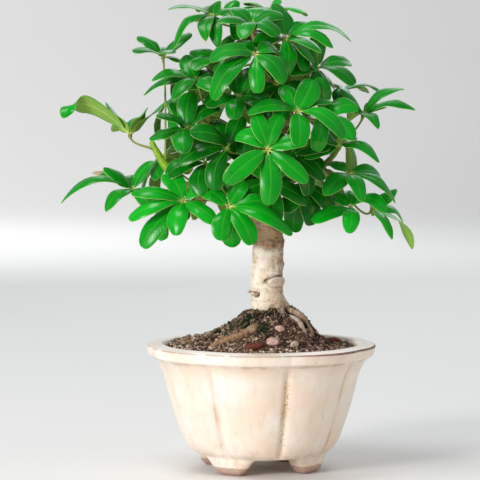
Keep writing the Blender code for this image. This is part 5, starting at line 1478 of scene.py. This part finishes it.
def add_roots(shape):
    """Ringed and ridged surface roots, rubbed pale where they leave the trunk and dark in their folds."""
    # Each root's brownness, on the right roots partly painted shade.
    for root, brown in zip(ROOTS, ROOT_BROWNS_AND_SHADE):
        grid, out, height, share, line = bark_tube(root, *ROOT_TUBE)
        rings = bell((share * 9 + 0.3 * height) % 1 - 0.5, 0.16)
        ridges = 0.22 * rough(grid * (1, 1, 0.7), 1.6, 97, 3)
        rubbed = 0.5 * ease(rough(grid, 3.2, 99, 3), 0, 0.6) * (1 - share)
        dark = 0.2 * rings + 0.2 * share + 0.35 * ease(-ridges, 0.03, 0.16)
        add_bark(shape, grid, out, height + 0.25 - 0.12 * rings + ridges, line, brown, 0, dark, rubbed)


def make_wood(finish):
    """The trunk, then its twig, branches, flares and roots as further closed tubes sunk into it."""
    shape = Shape(bark=3, scar=1)
    add_trunk(shape)
    add_cut_twig(shape)
    add_branches(shape)
    add_flares(shape)
    add_roots(shape)
    shape.piece("trunk_and_roots", finish, ["trunk"])


def turned(vector, about, degrees):
    """The vector turned about a unit axis, by the rule of Rodrigues."""
    angle = math.radians(degrees)
    return (vector * math.cos(angle) + np.cross(about, vector) * math.sin(angle)
            + about * about.dot(vector) * (1 - math.cos(angle)))


def back_leaves():
    """Leaves over the back of a dome, each with blades evenly round an axis that leans outwards."""
    leaves = []
    for number in range(BACK_LEAVES):
        height = BACK_LOW + (BACK_HIGH - BACK_LOW) * (number + 0.5) / BACK_LEAVES
        turn = BACK_SPREAD * (2 * ((number * GOLDEN_TURN / math.tau) % 1) - 1)
        out = np.array((math.sin(turn), math.cos(turn), 0))
        radius = float(np.interp(height, *zip(*DOME)))
        hub = np.array((DOME_CENTRE_X, 0, height)) + out * radius
        axis = unit(out * (0.35 + radius / 110) + np.array((0, 0, 0.9)))
        across = unit(np.cross(axis, (0.2, 0.1, 1)))
        blades = []
        for blade in range(BACK_BLADES):
            way = turned(across, axis, 360 * blade / BACK_BLADES + 97 * number)
            length = BACK_LENGTH[0] + (BACK_LENGTH[1] - BACK_LENGTH[0]) * ((blade * 5 + number) % 7) / 6
            reach = length * (way * math.cos(BACK_DROP) - axis * math.sin(BACK_DROP))
            blades.append((*reach, *BACK_BOW_AND_WIDTH))
        leaves.append(Leaf(hub, axis, hub - (axis + out) * BACK_REACH * 0.7, blades))
    return leaves


def wood_line():
    """Points along the upper trunk and the branches, where petioles may start."""
    lines = [smooth_line(TRUNK[8:], 1.5)] + [smooth_line(branch[1:], 1.5) for branch in BRANCHES]
    return np.vstack(lines)[:, :3]


def corners_of(node):
    """The corners of a CAD node, in this file's millimetres."""
    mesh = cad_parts[node].data
    points = np.empty(len(mesh.vertices) * 3, np.float32)
    mesh.vertices.foreach_get("co", points)
    return (points.reshape(-1, 3) - POT_AXIS) / MM


def blade_choices(blade, axis):
    """The blade's reach from hub to tip as drawn, then bent and shortened more and more."""
    drawn = np.array(blade[:3], float)
    hinge = unit(np.cross(drawn, axis))
    choices = [(abs(swing) + abs(lift) + SIZE_COST * (1 - size), swing, lift, size)
               for swing in SWINGS for lift in LIFTS for size in SIZES]
    for _, swing, lift, size in sorted(choices):
        yield turned(turned(drawn, hinge, lift), axis, swing) * size, size


def reach_of(blade, hub, axis, corners):
    """The first of a blade's choices whose tip is a corner of the solid, or else the blade as drawn."""
    for reach, size in blade_choices(blade, axis):
        if np.linalg.norm(corners - hub - reach, axis=1).min() < TIP_MATCH:
            return reach, size
    return np.array(blade[:3], float), 1


def petiole_path(foot, hub, axis, sway, share):
    """A cubic curve from the wood to the hub that arrives along the hub's axis; sway bends it sideways."""
    beside = unit(np.cross(hub - foot, (0, 0, 1)))
    first = foot + (hub - foot) * 0.33 + beside * sway
    second = hub - axis * np.linalg.norm(hub - foot) * 0.3 + beside * sway
    return cubic(foot, first, second, hub, share[:, None])


def sway_of(foot, hub, axis, corners):
    """The sway at which most corners of the solid lie at the petiole's radius from its path."""
    share = np.linspace(0, 1, 600)
    hits = []
    for sway in PETIOLE_SWAYS:
        path = petiole_path(foot, hub, axis, sway, share)
        gaps = np.linalg.norm(corners[:, None] - path[None], axis=-1).min(1)
        hits.append((np.abs(gaps - PETIOLE_RADIUS) < RADIUS_MATCH).sum())
    return PETIOLE_SWAYS[int(np.argmax(hits))]


def blade_outline(share, width, end):
    """Half widths: an egg shape u**rise * (1 - u)**end, u being the share past the stalk, and the stalk.

    The smaller the end, the rounder the tip.
    """
    u = np.clip((share - STALK_END) / (1 - STALK_END), 0, 1)
    peak = WIDEST_RISE / (WIDEST_RISE + end)
    top = peak**WIDEST_RISE * (1 - peak) ** end
    egg = FULLNESS * width / 2 * u**WIDEST_RISE * (1 - u) ** end / top
    return np.maximum(egg, STALK_RADIUS * (share < 0.5))


def blade_middle(hub, reach, axis, bow, hook, t):
    """The middle line's points and slopes at t, and the blade's raised and sideways directions.

    The line is cubic, raised by the bow between the hub and the tip; the hook pulls it up before the tip.
    """
    ahead = unit(reach)
    raised = unit(axis - ahead * axis.dot(ahead))
    tip = hub + reach
    first = hub + reach / 3 + raised * bow * 4 / 3
    second = hub + reach * 2 / 3 + raised * (bow * 4 / 3 + hook) + ahead * 2 * hook
    slope = unit((1 - t) ** 2 * (first - hub) + 2 * t * (1 - t) * (second - first) + t**2 * (tip - second))
    return cubic(hub, first, second, tip, t), slope, raised, np.cross(ahead, raised)


def add_blade(shape, hub, reach, axis, bow, width, hook, end, turn, curl, tone, dry, chance):
    """A leaflet as an oval loop of columns carried along its middle line.

    Across it the height is -drop * half * |s|**1.6, less a groove at the midrib, plus a wave that grows
    towards the margins; beneath, the midrib stands out. In the stalk the loop is round. The loop turns
    about the line by the twist, and near the tip by the curl too, which takes twice as many rows.
    """
    share = BLADE_ROWS
    if curl:
        share = np.sort(np.append(share, (share[1:] + share[:-1]) / 2))
    t = np.append(share, 1)[:, None]
    line, slope, raised, side = blade_middle(hub, reach, axis, bow, hook, t)
    normal = np.cross(side, slope)
    curve = chance.uniform(*CURVES) * np.sin(math.pi * t**1.3)
    droop = chance.uniform(*DROOPS) * np.linalg.norm(reach) * t**4
    line = line + side * curve - raised * droop
    twist = np.radians(turn) * ease(t, 0.1, 0.95) + np.radians(curl) * ease(t, 0.6, 0.97)
    across = np.cos(twist) * side + np.sin(twist) * normal
    up = np.cos(twist) * normal - np.sin(twist) * side

    half = blade_outline(share, width, end)[:, None]
    share = share[:, None]
    flat = ease(share, 0.08, 0.2)
    s = np.array(TOP_COLUMNS + UNDER_COLUMNS)[None, :]
    off = s * half
    thick = (1 - flat) * np.sqrt(1 - s**2) * STALK_RADIUS + flat * BLADE_HALF_THICK * (1 - s**8)
    drop = chance.uniform(*SIDE_DROPS)
    rib = flat * (1 - 0.75 * share) * np.where(LAYERS > 0, 0.34 * bell(off, 0.7), 0.42 * bell(off, 0.5))
    phase = math.tau * (chance.uniform(*WAVES) * share + chance.uniform(0, 1))
    wave = chance.uniform(*WAVE_HEIGHTS) * s**2 * np.sin(phase + 1.1 * np.sign(s)) * flat * (1 - share**6)
    height = flat * (-drop * half * np.abs(s) ** 1.6) + LAYERS * thick - rib + wave
    grid = line[:-1, None] + across[:-1, None] * off[..., None] + up[:-1, None] * height[..., None]
    blade = joined(share, off, (1 - np.abs(s)) * half + 4 * (1 - flat))
    look = joined(tone, (1 - LAYERS) / 2, 1 - ease(share, 0.05, 0.14))
    shape.add_tube(grid, hub, line[-1], blade=blade, look=look, dry=dry)


def make_leaf(number, leaf, starts, finish):
    """A compound leaf: the petiole from inside the wood to the hub, the hub, and the blades round it."""
    node = f"leaf_{number:02d}"
    corners = corners_of(node)
    chance = np.random.default_rng(LEAF_DRAW + number)
    hub, axis = np.array(leaf.hub, float), unit(np.array(leaf.axis, float))
    foot = starts[np.argmin(np.linalg.norm(starts - np.array(leaf.foot), axis=1))]
    share = np.linspace(0, 1, PETIOLE_ROWS)
    path = petiole_path(foot, hub, axis, sway_of(foot, hub, axis, corners), share)
    way = lengths_along(path)
    radius = PETIOLE_RADIUS * (1 - 0.12 * share) + 0.7 * np.exp(-way / 4) + 0.6 * bell(way[-1] - way, 2.2)
    # The leaf's lightness, partly its own tone and partly painted light.
    tone = LEAF_TONES_AND_LIGHT.get(number, chance.uniform(*TONES))
    shape = Shape(blade=3, look=3, dry=1)
    bare = {"blade": (0, 3, 9), "look": (tone, 0, 1), "dry": 0}
    shape.add_tube(tube(path, radius, PETIOLE_SIDES)[0], path[0], path[-1] + axis * 0.4, **bare)
    latitude = np.radians((-62, -30, 0, 30, 62))
    core = hub + axis * 0.9 * HUB_RADIUS * np.sin(latitude)[:, None]
    knob = tube(core, HUB_RADIUS * np.cos(latitude), PETIOLE_SIDES)[0]
    shape.add_tube(knob, hub - axis * HUB_RADIUS, hub + axis * HUB_RADIUS, **bare)
    for index, blade in enumerate(leaf.blades):
        key = (number, index)
        reach, size = reach_of(blade, hub, axis, corners)
        shade = min(1, max(0, tone + chance.uniform(*TONE_SHIFTS)))
        turn = TWISTS.get(key, chance.uniform(*TURNS))
        end = POINTED.get(number, chance.uniform(*TIP_ROUND))
        bow, hook = blade[3] * size, HOOKS.get(key, 0) * size
        curl, dry = CURLS.get(key, 0), DRY_TIPS.get(key, 0)
        add_blade(shape, hub, reach, axis, bow, blade[4], hook, end, turn, curl, shade, dry, chance)
    shape.piece(f"{node}_leaflets", finish, [node])


def make_leaves(finish):
    """All the leaves, numbered from 1 as their nodes are."""
    starts = wood_line()
    for number, leaf in enumerate([*LEAVES, *back_leaves()], 1):
        make_leaf(number, leaf, starts, finish)


def make_floor(finish):
    """A level round floor that curves up all round into a low wall, far outside the plant."""
    quarter = np.radians(np.linspace(0, 78, 14))
    radius = np.concatenate([FLOOR_FLAT, FLOOR_REACH + FLOOR_CURVE * np.sin(quarter)])[:, None]
    height = np.concatenate([0 * np.array(FLOOR_FLAT), FLOOR_CURVE * (1 - np.cos(quarter))])[:, None]
    points = around(even_turns(FLOOR_SIDES)[None, :], radius, height)
    faces = grid_quads(len(radius), FLOOR_SIDES)[:, ::-1].tolist() + [list(range(FLOOR_SIDES))]
    mesh = bpy.data.meshes.new("floor")
    mesh.from_pydata(points.reshape(-1, 3).tolist(), [], faces)
    mesh.shade_smooth()
    mesh.materials.append(finish)
    floor = bpy.data.objects.new("floor", mesh)
    bpy.context.scene.collection.objects.link(floor)


def aimed_lamp(name, place, size, power, colour, aim):
    """A round soft box at a place, turned to the middle of the plant or to another point."""
    data = bpy.data.lights.new(name, "AREA")
    data.shape = "DISK"
    data.size = size
    data.energy = power
    data.color = colour
    lamp = bpy.data.objects.new(name, data)
    lamp.location = place
    lamp.rotation_euler = (Vector(aim) - Vector(place)).to_track_quat("-Z", "Y").to_euler()
    lamp.visible_camera = False
    bpy.context.scene.collection.objects.link(lamp)


def make_light():
    """The lamps and an even light from all round."""
    for lamp in LAMPS:
        aimed_lamp(*lamp)
    world = bpy.data.worlds.new("studio")
    world.use_nodes = True
    background = world.node_tree.nodes["Background"]
    background.inputs["Color"].default_value = ROOM_COLOUR
    background.inputs["Strength"].default_value = ROOM_STRENGTH
    bpy.context.scene.world = world
    bpy.context.scene.view_settings.view_transform = "Standard"


def make_camera():
    """A long lens 1.7 m in front of the pot, a little above it, as the photo was taken."""
    data = bpy.data.cameras.new("camera")
    data.lens = CAMERA_LENS
    data.sensor_width = CAMERA_SENSOR
    camera = bpy.data.objects.new("camera", data)
    camera.location = np.array(CAMERA_PLACE) + POT_AXIS
    camera.rotation_euler = (math.pi / 2 - CAMERA_DIP, 0, 0)
    bpy.context.scene.collection.objects.link(camera)
    bpy.context.scene.camera = camera


make_camera()
make_light()
make_floor(floor_finish())
make_pot(glaze_finish())
make_soil(soil_finish())
grit = grit_finish()
make_grit(grit)
make_strands(grit)
make_moss(moss_finish())
make_wood(bark_finish())
make_leaves(leaf_finish())
pink_stone = stone_finish("pink stone", (238, 204, 186), (190, 146, 128))
pale_stone = stone_finish("pale stone", (236, 214, 194), (196, 166, 144))
for stone in STONES:
    make_stone(stone, pale_stone if stone == "stone_pale" else pink_stone)
for chip in CHIPS:
    make_chip(chip, chip_finish())
